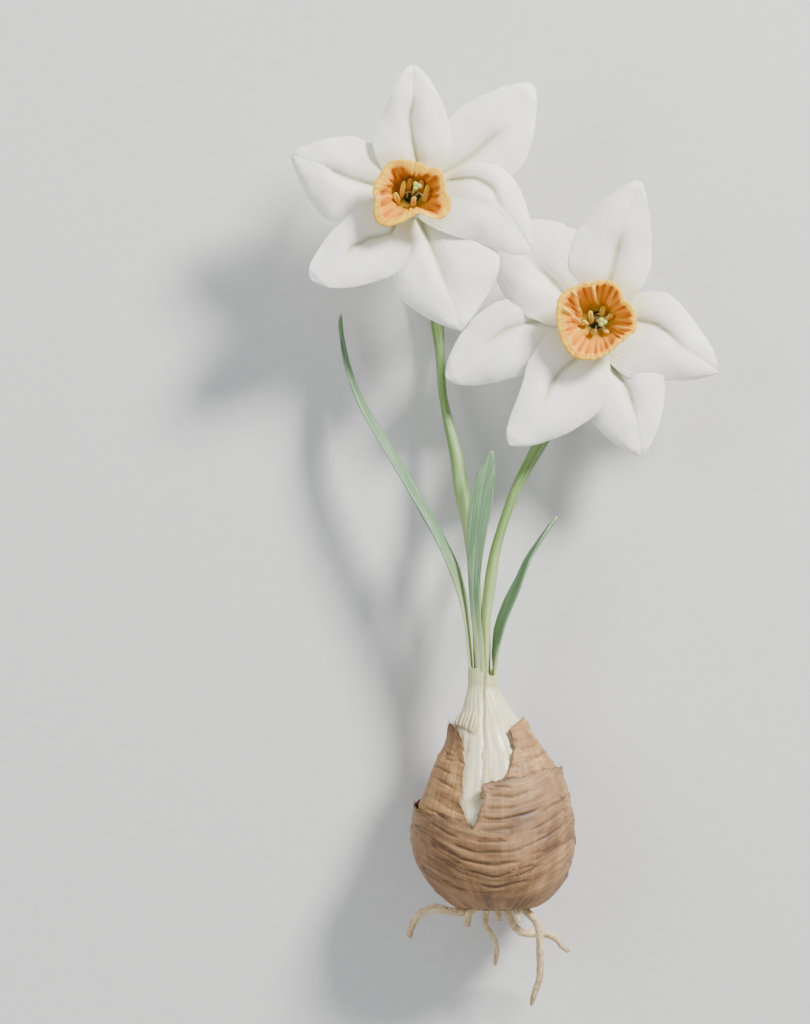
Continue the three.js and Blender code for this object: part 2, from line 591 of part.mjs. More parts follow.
function stamens() {
  const { outer, inner, height, sides } = STAMEN_FOOT;
  const [low, high] = [POCKET_FLOOR, POCKET_FLOOR + height];
  const foot = turned([[low, inner], [low, outer], [high, outer], [high, inner], [low, inner]],
    sides);
  const grown = Array.from({ length: STAMEN.count }, (_, k) => {
    const angle = ((k + 0.5) / STAMEN.count) * 2 * Math.PI;
    const row = (radius, z, thick) => [radius * Math.cos(angle), radius * Math.sin(angle), z, thick];
    const start = STAMEN.start + (k % 2) * STAMEN.stagger;
    const rows = STAMEN_ROWS.map(([out, share, thick]) => (
      row(STAMEN.circle + out * STAMEN.lean, start + share * STAMEN.length, thick)));
    rows.unshift(row(STAMEN.circle, low + height / 3, STAMEN_ROWS[0][2]));
    return stem(rows, 8, STAMEN.sides, new THREE.Vector3(-Math.sin(angle), Math.cos(angle), 0));
  });
  return geometryOf(fused([foot, ...grown]));
}

function pistil() {
  const style = stem([[0, 0, POCKET_FLOOR, PISTIL.style], [0, 0, PISTIL.top, PISTIL.style]], 2, 8,
    ACROSS);
  const lobes = Array.from({ length: PISTIL.lobes }, (_, k) => {
    const angle = (k / PISTIL.lobes) * 2 * Math.PI;
    const lobe = new THREE.SphereGeometry(PISTIL.stigma, 7, 5);
    lobe.translate(Math.cos(angle) * PISTIL.lobeCircle, Math.sin(angle) * PISTIL.lobeCircle,
      PISTIL.top);
    return lobe;
  });
  return geometryOf(fused([style, ...lobes]));
}

function bloom(side, { x, y, z }, specs, tubeLength, rim) {
  const group = new THREE.Group();
  group.add(
    piece(`tepals_${side}`, tepals(specs, tubeLength), COLOURS.tepal),
    piece(`corona_${side}`, corona(rim), COLOURS.corona),
    piece(`stamens_${side}`, stamens(), COLOURS.anther),
    piece(`pistil_${side}`, pistil(), COLOURS.pistil),
  );
  group.position.set(x, y, z);
  return group;
}

const scape = (rows) => restOnSurface(solid(stem(rows, Math.round(1.6 * rows.length), SCAPE_SIDES,
  ACROSS)));
const outerOffset = 2 * GAP + TUNIC_INNER_WALL;

const narcissus = new THREE.Group();
narcissus.add(
  piece('bulb_scales', bulbScales(), COLOURS.scale),
  piece('tunic_inner', tunic(GAP, TUNIC_INNER_WALL, TUNIC_INNER_ROW, INNER_RIM_FRONT,
    INNER_RIM_BACK), COLOURS.tunicInner),
  piece('tunic_outer', tunic(outerOffset, TUNIC_OUTER_WALL, TUNIC_OUTER_ROW, OUTER_RIM_FRONT,
    OUTER_RIM_BACK), COLOURS.tunicOuter),
  piece('basal_plate_and_roots', plateAndRoots(), COLOURS.root),
  piece('leaf_left', leaf(LEAF_LEFT, 26), COLOURS.leaf),
  piece('leaf_middle', leaf(LEAF_MIDDLE, 18), COLOURS.leaf),
  piece('leaf_right', leaf(LEAF_RIGHT, 16), COLOURS.leaf),
  piece('scape_left', scape(SCAPE_LEFT), COLOURS.scape),
  piece('scape_right', scape(SCAPE_RIGHT), COLOURS.scape),
  piece('spathe_left', spathe(SCAPE_LEFT, SPATHE_LEFT_SPAN), COLOURS.spathe),
  piece('spathe_right', spathe(SCAPE_RIGHT, SPATHE_RIGHT_SPAN), COLOURS.spathe),
  bloom('left', BLOOM_LEFT, TEPALS_LEFT, BLOOM_LEFT.z - SCAPE_LEFT.at(-1)[2] - GAP,
    CORONA_RIM_LEFT),
  bloom('right', BLOOM_RIGHT, TEPALS_RIGHT, BLOOM_RIGHT.z - SCAPE_RIGHT.at(-1)[2] - GAP,
    CORONA_RIM_RIGHT),
);

export default narcissus;
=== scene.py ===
# A narcissus lifted with its bulb and laid on its back: flowers, scapes, leaves, a bulb in torn
# papery tunics, and roots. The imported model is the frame, and each piece here dresses one of its
# nodes. Lengths are millimetres until a mesh is made, +Z up, +Y from the roots to the flowers.
import math

import bpy
import numpy as np
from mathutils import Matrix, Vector


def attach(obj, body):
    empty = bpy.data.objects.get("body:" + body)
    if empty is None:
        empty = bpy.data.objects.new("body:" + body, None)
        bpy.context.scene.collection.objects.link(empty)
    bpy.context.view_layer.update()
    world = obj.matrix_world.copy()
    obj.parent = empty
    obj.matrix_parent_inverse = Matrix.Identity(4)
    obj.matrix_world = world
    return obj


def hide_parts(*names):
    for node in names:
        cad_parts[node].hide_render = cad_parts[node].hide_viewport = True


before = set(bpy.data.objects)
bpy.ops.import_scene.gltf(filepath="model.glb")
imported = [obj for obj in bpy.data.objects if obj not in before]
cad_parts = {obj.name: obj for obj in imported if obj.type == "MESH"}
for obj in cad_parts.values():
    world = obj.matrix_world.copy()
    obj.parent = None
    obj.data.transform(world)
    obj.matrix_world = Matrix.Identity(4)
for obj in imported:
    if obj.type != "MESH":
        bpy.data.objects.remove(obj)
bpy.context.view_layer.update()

MM = 0.001
NUDGE = 1e-3  # a short step along a route, which gives its direction
ACROSS = np.array([1.0, 0.0, 0.0])
UP = np.array([0.0, 0.0, 1.0])

# Camera: the image's middle looks straight down on this point, and its height spans this length.
VIEW_CENTRE = (-32.0, 8.0)
VIEW_HEIGHT = 327.7
VIEW_PLANE = 26.0  # the height over the floor at which that length is true
CAMERA_HEIGHT = 3600.0
SENSOR_HEIGHT = 24.0

# Lamps, in metres: place, size, power and colour. All of them point at one place.
LAMP_TARGET = (-0.01, 0.0, 0.02)
LAMPS = {
    "key": ((0.92, 1.02, 0.95), 0.40, 70.0, (1.0, 0.985, 0.955)),
    "fill": ((-1.1, 0.4, 1.1), 0.9, 11.0, (0.94, 0.97, 1.0)),
    "low": ((0.2, -1.3, 0.9), 1.0, 6.0, (1.0, 1.0, 1.0)),
}
FLOOR_HALF = 4.0

WORLD_COLOUR = (0.95, 0.97, 1.0, 1.0)
WORLD_STRENGTH = 0.42

# Rows along each kind of piece, and columns across or round it. The flesh of the bulb has rows
# above and below the share from which the tunics cover it all round, and rows down its socket.
FLESH_GRID = (122, 31, 26, 184)
FLESH_COVERED = 0.55
TEPAL_GRID = (72, 57)
TUBE_GRID = (73, 60)
FILAMENT_GRID = (24, 10)
ANTHER_GRID = (48, 32)
STYLE_GRID = (40, 20)
LOBE_GRID = (19, 24)
FIBRE_GRID = (8, 5)
ROOT_GRID = (26, 22)  # its rows are those between two points of the root's line
CORONA_GRID = (64, 336)
LEAF_GRID = (170, 31)
SCAPE_GRID = (220, 44)
SPATHE_GRID = (60, 71)
TUNIC_GRID = (156, 276)
PLATE_GRID = (40, 120)

# The bulb: rows from the neck down, y, half-width, x of the middle.
BULB_AXIS_Z = 24.3
BULB_DEPTH_RATIO = 0.92
BULB_PROFILE = [
    [-49.0, 5.7, -6.9], [-55.7, 8.6, -5.6], [-60.2, 11.7, -5.0], [-66.6, 14.9, -3.9],
    [-73.0, 18.4, -3.4], [-79.4, 20.9, -3.4], [-85.8, 22.9, -3.8], [-92.2, 23.9, -3.9],
    [-98.6, 24.0, -3.7], [-105.0, 22.6, -3.3], [-110.6, 19.2, -2.7], [-114.2, 15.6, -2.4],
    [-116.2, 12.4, -2.4],
]
# Above it the neck's sheath carries on up round the bases of the leaves.
NECK_SHEATH = [[-42.6, 5.3, -7.15], [-45.8, 5.4, -7.05]]
SOCKET = {"x": -6.9, "z": 24.2, "floor": -61.0, "half_width": 4.95, "half_depth": 4.3,
          "rim_shift": -0.25, "rim_share": 0.92}
# The furrow between two fleshy scales, down the front of the neck: y, x.
FURROW = [[-46.0, -6.6], [-60.0, -7.1], [-75.0, -7.4], [-84.0, -8.0]]
# A torn skirt of thin skin with short pleats, left of the neck: the x, y of its lower edge.
SKIRT = [[-18.0, -59.0], [-15.0, -60.2], [-12.0, -61.9], [-9.6, -62.7], [-8.6, -60.0]]
SKIRT_TOP = -56.6
SKIRT_RISE = 0.42
SKIRT_PLEAT = {"height": 0.24, "length": 1.15, "lean": 0.25}
SCALE_STEP = 0.45  # how far the left scale stands over the right one, along the furrow
NECK_RIB = 0.09
NECK_RIBS = 30

# Tunics. Each lies this far out from the bulb and is this thick, and starts at this row of the
# profile, counted from the neck. Its torn rim is x, y seen from the front and from behind, and
# above the rim it is gone. The outer one has a hem that turns in towards the basal plate.
TUNICS = {
    "inner": {
        "out": 0.35, "wall": 0.55, "first_row": 1, "fray": 0.35, "hem": [], "flap": True,
        "front": [
            [-40, -62.5], [-21.5, -62.5], [-18.4, -58.9], [-16.0, -60.2], [-13.6, -64.2],
            [-12.8, -68.0], [-13.2, -78.0], [-14.2, -85.2], [-13.0, -88.8], [-10.8, -93.0],
            [-8.0, -88.4], [-4.0, -80.5], [1.4, -74.4], [2.6, -67.0], [0.8, -61.6],
            [5.5, -57.8], [9, -58.4], [40, -58.4]],
        "back": [
            [-40, -62.5], [-21.5, -62.5], [-15.5, -60.6], [-9.5, -62.6], [-3.5, -60.8],
            [2, -62.2], [5.5, -58.8], [9, -58.4], [40, -58.4]],
        "colours": [(0.56, 0.34, 0.14), (0.38, 0.20, 0.07), (0.19, 0.085, 0.03)],
        "shine": 0.06, "fibrous": 0.9},
    "outer": {
        "out": 1.55, "wall": 0.75, "first_row": 4, "fray": 0.45, "hem": [[-116.7, 10.6, -2.5]],
        "flap": False,
        "front": [
            [-40, -85.6], [-30.5, -85.6], [-25.0, -88.0], [-19.5, -88.2], [-14.2, -89.8],
            [-10.8, -92.6], [-8.4, -88.0], [-7.2, -84.0], [-7.4, -78.6], [-1.8, -77.0],
            [6.5, -75.6], [13.0, -73.4], [18.0, -73.6], [40, -73.6]],
        "back": [
            [-40, -85.6], [-30.5, -85.6], [-24.5, -83.4], [-17.5, -84.6], [-10, -80.2],
            [-3, -81.6], [4.5, -76.8], [11.5, -77.4], [18.0, -73.6], [40, -73.6]],
        "colours": [(0.40, 0.235, 0.11), (0.24, 0.125, 0.052), (0.095, 0.047, 0.022)],
        "shine": 0.05, "fibrous": 0.42},
}
BELOW_ALL = -300  # lower than anything, to close a rim's outline below the bulb
# Wrinkles run across the bulb and rise towards both sides, by this times the square of the
# distance from the middle. The deep ones: y in the middle of the bulb, x of each end. Painted
# shade darkens the creases of all of them.
WRINKLE_BEND = 0.016
WRINKLE_MIDDLE = -3.7
WRINKLE_WIDTH = 0.34
DEEP_WRINKLES = [
    [-79.6, -5.5, 3.5], [-82.6, -6.5, 9.0], [-86.4, -7.5, 5.0], [-89.8, -8.5, 12.0],
    [-93.2, -9.5, 4.0], [-96.9, -11.0, 2.0], [-100.4, -18.0, 7.0], [-104.2, -16.6, 6.0],
    [-107.7, -13.4, 3.5], [-111.4, -9.0, 9.0], [-91.4, 10.0, 21.5], [-95.2, 7.0, 22.0],
    [-99.6, 9.0, 21.0], [-104.0, 10.0, 19.0], [-93.4, -26.5, -17.0], [-97.8, -26.0, -14.0],
    [-102.6, -25.0, -17.0], [-107.0, -23.0, -14.0], [-74.0, -21.0, -15.0], [-78.4, -24.0, -16.0],
    [-82.6, -24.0, -15.0], [-69.0, 3.0, 12.0], [-73.0, 4.0, 15.0],
]
# Heights of what roughens a tunic, and from which share of its length it gathers round the plate.
TUNIC_RELIEF = {"swells": 0.24, "creases": 0.34, "fibres": 0.05, "dents": 0.22, "gathers": 0.34}
GATHERED_FROM = 0.78
# The left flap of the inner tunic curls out, and painted shade darkens it: x, y and how wide and long each
# is.
FLAP_CURL = (-17.2, -60.5, 2.6, 3.4)
FLAP_SHADE = (-17, -60, 4, 5)
FLAP_HEIGHT = 1.5
LOOSE_FIBRES = 120
TUFT = {"right": -11, "foot": -68}  # the loose fibres are dense left of this x, above this y

PLATE = {"x": -2.6, "top": -116.5, "foot": -119.4, "top_radius": 11.2, "foot_radius": 8.2}
# Roots: x, y, z, radius.
ROOTS = [
    [[-8.0, -118.0, 24, 1.3], [-11.6, -120.0, 24.4, 1.3], [-17.0, -119.9, 24.5, 1.3],
     [-22.6, -118.9, 24.0, 1.4], [-27.6, -121.2, 22.6, 1.3], [-30.1, -125.4, 20.6, 1.2],
     [-30.3, -128.6, 19.4, 0.8]],
    [[-10.2, -118.0, 27, 1.2], [-11.6, -121.0, 27.4, 1.2], [-12.3, -124.6, 27.2, 1.1]],
    [[-5.4, -118.4, 20, 1.1], [-6.1, -124.2, 18.8, 1.0], [-4.2, -127.4, 18.0, 0.9],
     [-2.6, -132.2, 17.0, 0.8], [-3.1, -137.6, 16.0, 0.6]],
    [[-2.6, -118.4, 26, 1.1], [-2.2, -121.4, 26.6, 1.0], [-1.9, -123.0, 26.8, 0.8]],
    [[0.6, -118.2, 22, 1.3], [2.6, -124.2, 20.4, 1.3], [6.4, -127.0, 19.4, 1.3],
     [12.8, -127.2, 18.8, 1.2], [16.4, -128.8, 18.2, 1.1], [18.4, -131.4, 17.4, 0.9],
     [20.8, -133.2, 16.8, 0.6]],
    [[3.6, -117.8, 26, 1.3], [7.2, -120.2, 27.2, 1.3], [10.4, -124.0, 27.2, 1.3],
     [11.3, -132.0, 25.4, 1.3], [11.2, -140.4, 22.8, 1.2], [9.6, -146.0, 21.0, 1.0],
     [8.3, -150.4, 19.6, 0.6]],
    [[3.4, -118.2, 31, 1.0], [4.0, -121.6, 32.0, 0.9], [4.2, -123.0, 32.2, 0.7]],
]

# Leaves: x, y, z, half-width, roll in degrees (0 lies flat, 90 stands on its edge).
LEAF_CHANNEL = 0.14
LEAF_THICKNESS = 1.15
LEAVES = {
    "left": [
        [-10.5, -60.0, 24.1, 1.3, 90], [-10.7, -49.0, 24.2, 1.4, 90], [-11.5, -36.0, 24.4, 2.3, 96],
        [-12.9, -22.0, 24.9, 3.0, 108], [-15.8, -11.0, 25.0, 3.4, 118],
        [-20.0, -1.6, 24.6, 3.6, 117], [-26.3, 10.0, 23.6, 3.6, 114],
        [-33.8, 22.7, 22.2, 3.6, 116], [-38.8, 31.0, 20.6, 3.6, 119],
        [-44.0, 39.5, 18.2, 3.4, 118], [-47.5, 46.8, 15.6, 3.1, 114],
        [-50.4, 54.8, 12.6, 2.6, 110], [-52.1, 62.6, 9.8, 1.9, 106], [-52.8, 68.0, 8.2, 1.2, 104],
        [-52.7, 71.6, 7.4, 0.4, 104]],
    "middle": [
        [-7.6, -60.0, 26.5, 1.4, 8], [-7.6, -49.0, 26.8, 1.5, 10], [-8.2, -36.2, 27.8, 1.5, 12],
        [-9.5, -23.0, 28.9, 1.7, 16], [-9.8, -12.0, 29.5, 2.2, 18], [-9.2, -2.0, 30.0, 3.0, 16],
        [-8.4, 6.4, 30.3, 3.6, 12], [-7.3, 14.0, 30.3, 3.7, 10], [-6.1, 19.6, 30.1, 2.8, 10],
        [-4.8, 24.2, 29.8, 1.5, 10], [-4.1, 27.5, 29.5, 0.4, 10]],
    "right": [
        [-3.6, -60.0, 24.1, 1.3, 90], [-3.3, -49.0, 24.2, 1.4, 90], [-3.3, -41.6, 24.3, 2.1, 82],
        [-2.9, -36.0, 24.6, 2.6, 68], [-1.6, -29.0, 25.0, 3.1, 60], [1.0, -21.8, 25.3, 3.3, 60],
        [4.3, -14.6, 25.2, 3.3, 65], [7.2, -7.6, 24.6, 2.9, 68], [10.4, -2.2, 23.6, 2.3, 70],
        [13.8, 2.8, 22.2, 1.5, 70], [16.6, 6.4, 21.0, 0.4, 70]],
}

# Scapes with their pedicels and ovaries: x, y, z, half-width, half-depth.
SCAPES = {
    "left": [
        [-8.6, -60.2, 22.9, 1.0, 1.8], [-8.65, -49.0, 22.9, 1.0, 1.9], [-8.9, -36.2, 22.8, 1.2, 2.1],
        [-9.1, -23.4, 22.4, 1.5, 2.2], [-9.9, -10.0, 21.2, 1.8, 2.2], [-11.6, 3.4, 19.4, 2.0, 2.3],
        [-13.9, 15.0, 17.4, 2.3, 2.4], [-15.4, 25.3, 15.2, 2.0, 2.3], [-18.1, 36.7, 12.4, 1.5, 2.1],
        [-20.0, 47.0, 9.8, 1.2, 1.9], [-20.6, 58.0, 7.2, 1.4, 1.9], [-21.6, 68.0, 5.0, 1.9, 2.1],
        [-23.2, 80.0, 3.1, 2.1, 2.2], [-25.4, 91.0, 1.8, 1.9, 2.0], [-28.0, 101.2, 2.6, 1.6, 1.7],
        [-29.4, 107.6, 6.2, 1.6, 1.6], [-29.8, 109.4, 11.4, 1.9, 1.9],
        [-29.8, 109.4, 14.6, 2.9, 2.9], [-29.8, 109.4, 17.8, 3.2, 3.2],
        [-29.8, 109.4, 20.6, 2.7, 2.7], [-29.8, 109.4, 22.0, 2.2, 2.2]],
    "right": [
        [-6.0, -60.2, 22.9, 1.0, 1.8], [-5.95, -49.0, 22.9, 1.0, 1.9], [-5.9, -36.2, 22.8, 1.2, 2.1],
        [-6.0, -26.2, 22.5, 1.4, 2.2], [-4.9, -16.0, 21.8, 1.8, 2.3], [-3.3, -5.6, 20.4, 1.6, 2.2],
        [-0.6, 4.0, 18.6, 1.4, 2.0], [3.0, 13.8, 16.0, 1.5, 2.0], [7.2, 22.4, 13.0, 1.8, 2.2],
        [12.2, 31.2, 9.4, 2.1, 2.3], [17.6, 40.6, 5.4, 2.2, 2.3], [23.0, 51.4, 1.9, 2.0, 2.1],
        [27.0, 60.6, 2.0, 1.7, 1.8], [29.2, 67.0, 4.4, 1.6, 1.6], [29.4, 69.4, 7.4, 2.0, 2.0],
        [29.4, 69.4, 9.6, 2.8, 2.8], [29.4, 69.4, 12.0, 3.0, 3.0], [29.4, 69.4, 14.2, 2.2, 2.2]],
}
OVARY_SHARE = 0.8  # the share of a scape's length at which its ovary begins
# Spathes: the shares of the scape between which each lies, and how far it opens round the scape,
# in degrees, at its foot and at its tip.
SPATHE_SPAN = {"left": (0.565, 0.685), "right": (0.565, 0.705)}
SPATHE = {"spread": 215, "tip": 30, "clearance": 0.45, "swell": 1.3, "wall": 0.4}

# Flowers. The middle of each lies here, and its tepals spread at this height.
BLOOMS = {"left": (-29.8, 109.4, 38.0), "right": (29.3, 69.4, 27.0)}
TEPAL_START = 3.0
TEPAL_LAYER = 1.3
TEPAL_STACK = 0.04
# A tepal's fold is a wide hollow with a narrow crease in it: depth and width of each.
FOLD_HOLLOW = (1.15, 2.6)
FOLD_CREASE = (0.75, 0.55)
# Tepals: angle of the tip, length, half-width, place of the widest part, sideways sway, taper,
# bluntness of the tip, layer (2 is the front), lift of the tip. Then how far the outline swells on
# its left and on its right, seen from the foot, and how far each of those edges rolls down. Then
# the way of its fold, x, y.
TEPALS = {
    "left": [
        [[89.6, 41.1, 12.6, 0.38, 0.2, 1.15, 0.6, 2, 3], [-1.1, 0.8, 0.6, 0.8],
         [[1.6, 10.3], [0.0, 17.6], [-0.9, 24.0], [0.3, 30.1]]],
        [[42.0, 52.2, 13.4, 0.5, -3.5, 1.5, 0.7, 0, 1], [0.4, 0.7, 1.6, 1.4],
         [[12.8, 8.0], [18.6, 11.9], [24.3, 17.0], [28.8, 20.5]]],
        [[-25.2, 42.1, 12.8, 0.42, 6.7, 1.5, 0.6, 2, -1], [0.7, 0.0, 0.7, 1.0],
         [[11.5, 4.2], [20.2, 4.8], [25.6, 1.6], [27.9, -3.5]]],
        [[-70.2, 46.3, 17.0, 0.57, 1.9, 1.5, 0.9, 0, 2], [1.0, 0.0, 0.8, 2.0],
         [[4.5, -12.1], [6.4, -17.6], [9.0, -24.0], [11.2, -30.4]]],
        [[-139.2, 42.2, 11.9, 0.45, 4.2, 1.4, 0.55, 2, 3], [-1.0, 0.9, 0.9, 0.5],
         [[-6.4, -12.4], [-13.4, -14.0], [-19.2, -16.9], [-21.4, -20.1]]],
        [[161.7, 40.8, 13.9, 0.52, 2.2, 1.5, 0.85, 0, 0], [0.0, 0.0, 2.0, 0.5],
         [[-12.1, 2.9], [-19.2, 4.8], [-24.6, 7.1], [-28.1, 9.3]]]],
    "right": [
        [[73.3, 46.8, 13.3, 0.42, 1.9, 1.2, 0.7, 2, 4], [0.2, 0.3, 1.9, 0.5],
         [[3.6, 11.2], [4.9, 16.0], [6.5, 22.4], [7.5, 26.3]]],
        [[-22.7, 42.6, 14.8, 0.38, 2.0, 1.2, 0.72, 1, -2], [-0.6, 0.0, 0.4, 1.9],
         [[12.6, -0.3], [18.7, -1.6], [23.5, -4.8], [26.7, -8.0]]],
        [[-71.8, 46.1, 13.8, 0.5, 0.8, 1.5, 0.8, 0, 1], [0.0, 0.0, 0.5, 2.1],
         [[3.0, -11.8], [6.8, -16.6], [10.0, -22.4], [12.3, -30.4]]],
        [[-124.8, 48.7, 14.0, 0.44, 3.4, 1.15, 0.6, 2, 3], [0.0, -0.8, 1.6, 0.5],
         [[-6.3, -12.1], [-11.1, -16.0], [-14.9, -20.8], [-17.1, -27.2]]],
        [[-159.3, 51.6, 12.4, 0.53, -4.3, 1.5, 0.6, 0, 0], [0.0, 0.0, 1.8, 0.6],
         [[-14.9, 0.3], [-21.3, -0.6], [-29.3, -3.2], [-35.1, -7.3]]],
        [[137.9, 45.3, 15.7, 0.5, -1.0, 1.5, 0.75, 1, -3], [0.0, 0.0, 1.8, 0.8],
         [[-9.1, 6.4], [-13.3, 11.2], [-16.5, 14.4], [-20.3, 17.9]]]],
}
# The floral tube under the tepals: height, radius, up its outside and down into its pocket. The
# first rows are shares of its length.
TUBE_FOOT = [[-1.0, 2.3], [-0.78, 2.9]]
TUBE_FLARE = [[-6.9, 4.0], [-3.2, 4.7], [-0.5, 7.2], [0.35, 7.2], [0.3, 3.2], [-0.4, 3.0], [-6.4, 3.0]]
TUBE_GAP = 0.3  # between the ovary's top and the tube's foot

# Coronas: the rim's outline and the mouth's, where the wall turns out into the lip. Angle, radius.
CORONA_FOOT = 0.8
CORONA_WALL = 0.6
CORONA_UPTURN = 0.22
CORONA_MEAN = 11.5
CORONA_RIM = {
    "left": [
        [-20, 13.3], [5, 10.5], [29, 11.6], [42, 11.6], [57, 9.6], [85, 10.1], [112, 11.4],
        [125, 12.2], [150, 11.8], [177, 12.6], [190, 11.6], [207, 13.6], [221, 14.4], [233, 13.4],
        [246, 10.7], [264, 8.0], [284, 6.7], [300, 7.9], [312, 11.2], [323, 12.9]],
    "right": [
        [-15, 12.9], [-31, 11.0], [-52, 10.4], [-83, 11.9], [-112, 13.7], [-125, 14.1],
        [-142, 13.4], [-171, 12.7], [-190, 13.2], [-210, 14.2], [-236, 12.8], [-265, 12.0],
        [-284, 13.1], [-306, 12.6], [-322, 10.4], [-335, 11.7], [-352, 12.5]],
}
CORONA_MOUTH = {
    "left": [
        [-34, 10.9], [-14, 8.2], [5, 8.7], [20, 9.4], [36, 9.6], [50, 7.6], [65, 6.5], [80, 6.1],
        [93, 6.2], [104, 7.6], [118, 9.8], [130, 10.2], [140, 8.9], [155, 7.6], [168, 8.4],
        [176, 10.2], [190, 10.0], [206, 10.9], [218, 11.9], [226, 11.6], [235, 9.0], [246, 6.6],
        [260, 5.4], [275, 5.0], [299, 5.4], [309, 7.6], [318, 10.2]],
    "right": [
        [-15, 11.4], [-31, 9.8], [-52, 9.0], [-83, 10.6], [-112, 11.6], [-125, 11.9], [-142, 10.8],
        [-171, 9.9], [-190, 9.6], [-210, 11.8], [-236, 11.4], [-265, 10.4], [-284, 11.8],
        [-306, 11.4], [-322, 9.0], [-335, 9.8], [-352, 10.8]],
}
# The cup's side from its foot up: height, radius, share of the mouth's outline, share of the rim's.
CORONA_SIDE = [
    [-0.15, 3.3, 0.0, 0.0], [0.0, 4.5, 0.0, 0.0], [2.2, 6.1, 0.0, 0.0], [4.8, 7.1, 0.2, 0.0],
    [7.2, 7.8, 0.55, 0.0], [8.9, 8.4, 0.9, 0.0], [9.7, 8.8, 0.86, 0.14], [10.1, 9.0, 0.45, 0.55],
    [10.5, 9.0, 0.0, 1.0],
]
# How far to each side an outline is smoothed, and how softly, in degrees.
ROUNDING = (9, 3.6)
# Pleats of the wall: how many, how deep at the mouth, and the share of that left at the rim.
PLEATS = {"left": (19, 0.34, 0.12), "right": (27, 0.5, 0.45)}
# Folds that stand in from the wall of each cup, as seen from above: x, y along each, and height.
CUP_FOLDS = {
    "left": [([[-5.2, 6.8], [-4.6, 5.2], [-3.9, 3.9]], 0.7), ([[2.2, 5.2], [2.4, 4.2]], 0.6),
             ([[6.6, 5.6], [5.4, 4.3]], 0.6), ([[-8.6, -1.0], [-6.4, -1.4]], 0.7)],
    "right": [
        ([[-1.3, 10.4], [-0.2, 7.4], [1.8, 4.4]], 1.5), ([[-7.6, 8.6], [-6.8, 4.6], [-5.4, 0.2]], 1.7),
        ([[-10.4, 3.2], [-8.6, 0.8], [-5.4, -1.9]], 1.5), ([[-8.8, -5.6], [-6.2, -3.6]], 0.8),
        ([[5.4, 8.6], [4.4, 5.2]], 0.9), ([[10.2, -3.2], [5.0, -2.0]], 1.3)],
}

# Anthers: x, y, z of the lower and the upper end of each, from the middle of its flower.
ANTHERS = {
    "left": [
        [[-3.5, -1.2, 3.2], [-2.4, 4.1, 7.4]], [[4.0, -2.6, 3.4], [5.0, 2.8, 7.2]],
        [[-4.0, -3.2, 3.0], [-5.5, 0.3, 6.2]], [[-1.3, 0.9, 0.9], [-0.4, 4.9, 4.6]],
        [[2.9, 0.4, 0.9], [3.1, 4.4, 4.6]], [[0.4, -3.9, 2.0], [0.6, -1.0, 5.8]]],
    "right": [
        [[-1.6, -1.0, 1.0], [-2.2, 2.9, 5.0]], [[1.4, 1.2, 0.8], [2.2, 4.4, 4.6]],
        [[3.4, 0.2, 1.6], [4.9, 1.8, 5.4]], [[-3.0, -1.6, 2.2], [-4.6, -0.4, 6.2]],
        [[-0.6, -3.0, 1.4], [-1.2, -4.5, 5.4]], [[2.4, -2.8, 1.4], [3.6, -4.2, 5.2]]],
}
# An anther: share of its length, half-width, half-depth.
ANTHER_SHAPE = [
    (0.0, 0.15, 0.12), (0.06, 0.6, 0.42), (0.2, 0.88, 0.6), (0.5, 0.95, 0.66), (0.8, 0.86, 0.6),
    (0.94, 0.56, 0.4), (1.0, 0.15, 0.12),
]
FILAMENT_CIRCLE = 1.9
# The ring that the filaments stand on, and a lobe of the stigma: height, radius. The ring's heights
# count from the pocket's floor.
STAMEN_RING = [[0.0, 1.0], [0.0, 2.5], [0.5, 2.7], [1.0, 2.5], [1.0, 1.0]]
LOBE_PROFILE = [
    [-0.9, 0.1], [-0.75, 0.5], [-0.3, 0.78], [0.15, 0.86], [0.5, 0.74], [0.8, 0.44], [0.9, 0.08],
]
LOBE_CIRCLE = 0.72
STYLE_RADIUS = 0.55
STIGMA = {"left": (1.5, 2.3, 8.9), "right": (1.7, -0.8, 8.6)}
POCKET_FLOOR = -6.2


# Numbers


def smoothstep(x, low, high):
    t = np.clip((x - low) / (high - low), 0, 1)
    return t * t * (3 - 2 * t)


def between(x, *steps):
    """1 between two soft steps, each given by its start and its end, and 0 outside them."""
    return smoothstep(x, *steps[:2]) * (1 - smoothstep(x, *steps[2:]))


def bell(x, width):
    return np.exp(-(x / width) ** 2)


def unit(vectors):
    return vectors / np.linalg.norm(vectors, axis=-1, keepdims=True)


def noise(points, seed=0):
    """Smooth noise from -1 to 1, with one bump to a unit, at points of three columns."""
    cell = np.floor(points).astype(np.int64)
    f = points - cell
    f = f * f * (3 - 2 * f)
    total = np.zeros(points.shape[:-1])
    for corner in np.ndindex(2, 2, 2):
        x, y, z = np.moveaxis(cell + corner, -1, 0)
        key = (x * 73856093) ^ (y * 19349663) ^ (z * 83492791) ^ ((seed + 1) * 40503 * 65537)
        key = ((key ^ (key >> 13)) * 1274126177) & 0xFFFFFFFF
        value = ((key ^ (key >> 15)) & 0xFFFF) / 32767.5 - 1
        total += value * np.prod(np.where(np.array(corner, bool), f, 1 - f), axis=-1)
    return total


def rough(points, size, octaves=3, seed=0):
    """Noise of several sizes, the largest about this size in millimetres along each column."""
    scaled = points / np.asarray(size, float)
    return sum(noise(scaled * 2 ** k, seed + k) / 2 ** k for k in range(octaves))


def circle(count):
    """Angles once round, as a row."""
    return np.linspace(0, 2 * np.pi, count, endpoint=False)[None, :]


def spread(*columns):
    """Columns of numbers, made alike in shape, as points."""
    return np.stack(np.broadcast_arrays(*columns), -1).astype(float)


def on_round(radius, angle, height):
    """Points round the third column's axis."""
    return spread(radius * np.cos(angle), radius * np.sin(angle), height)


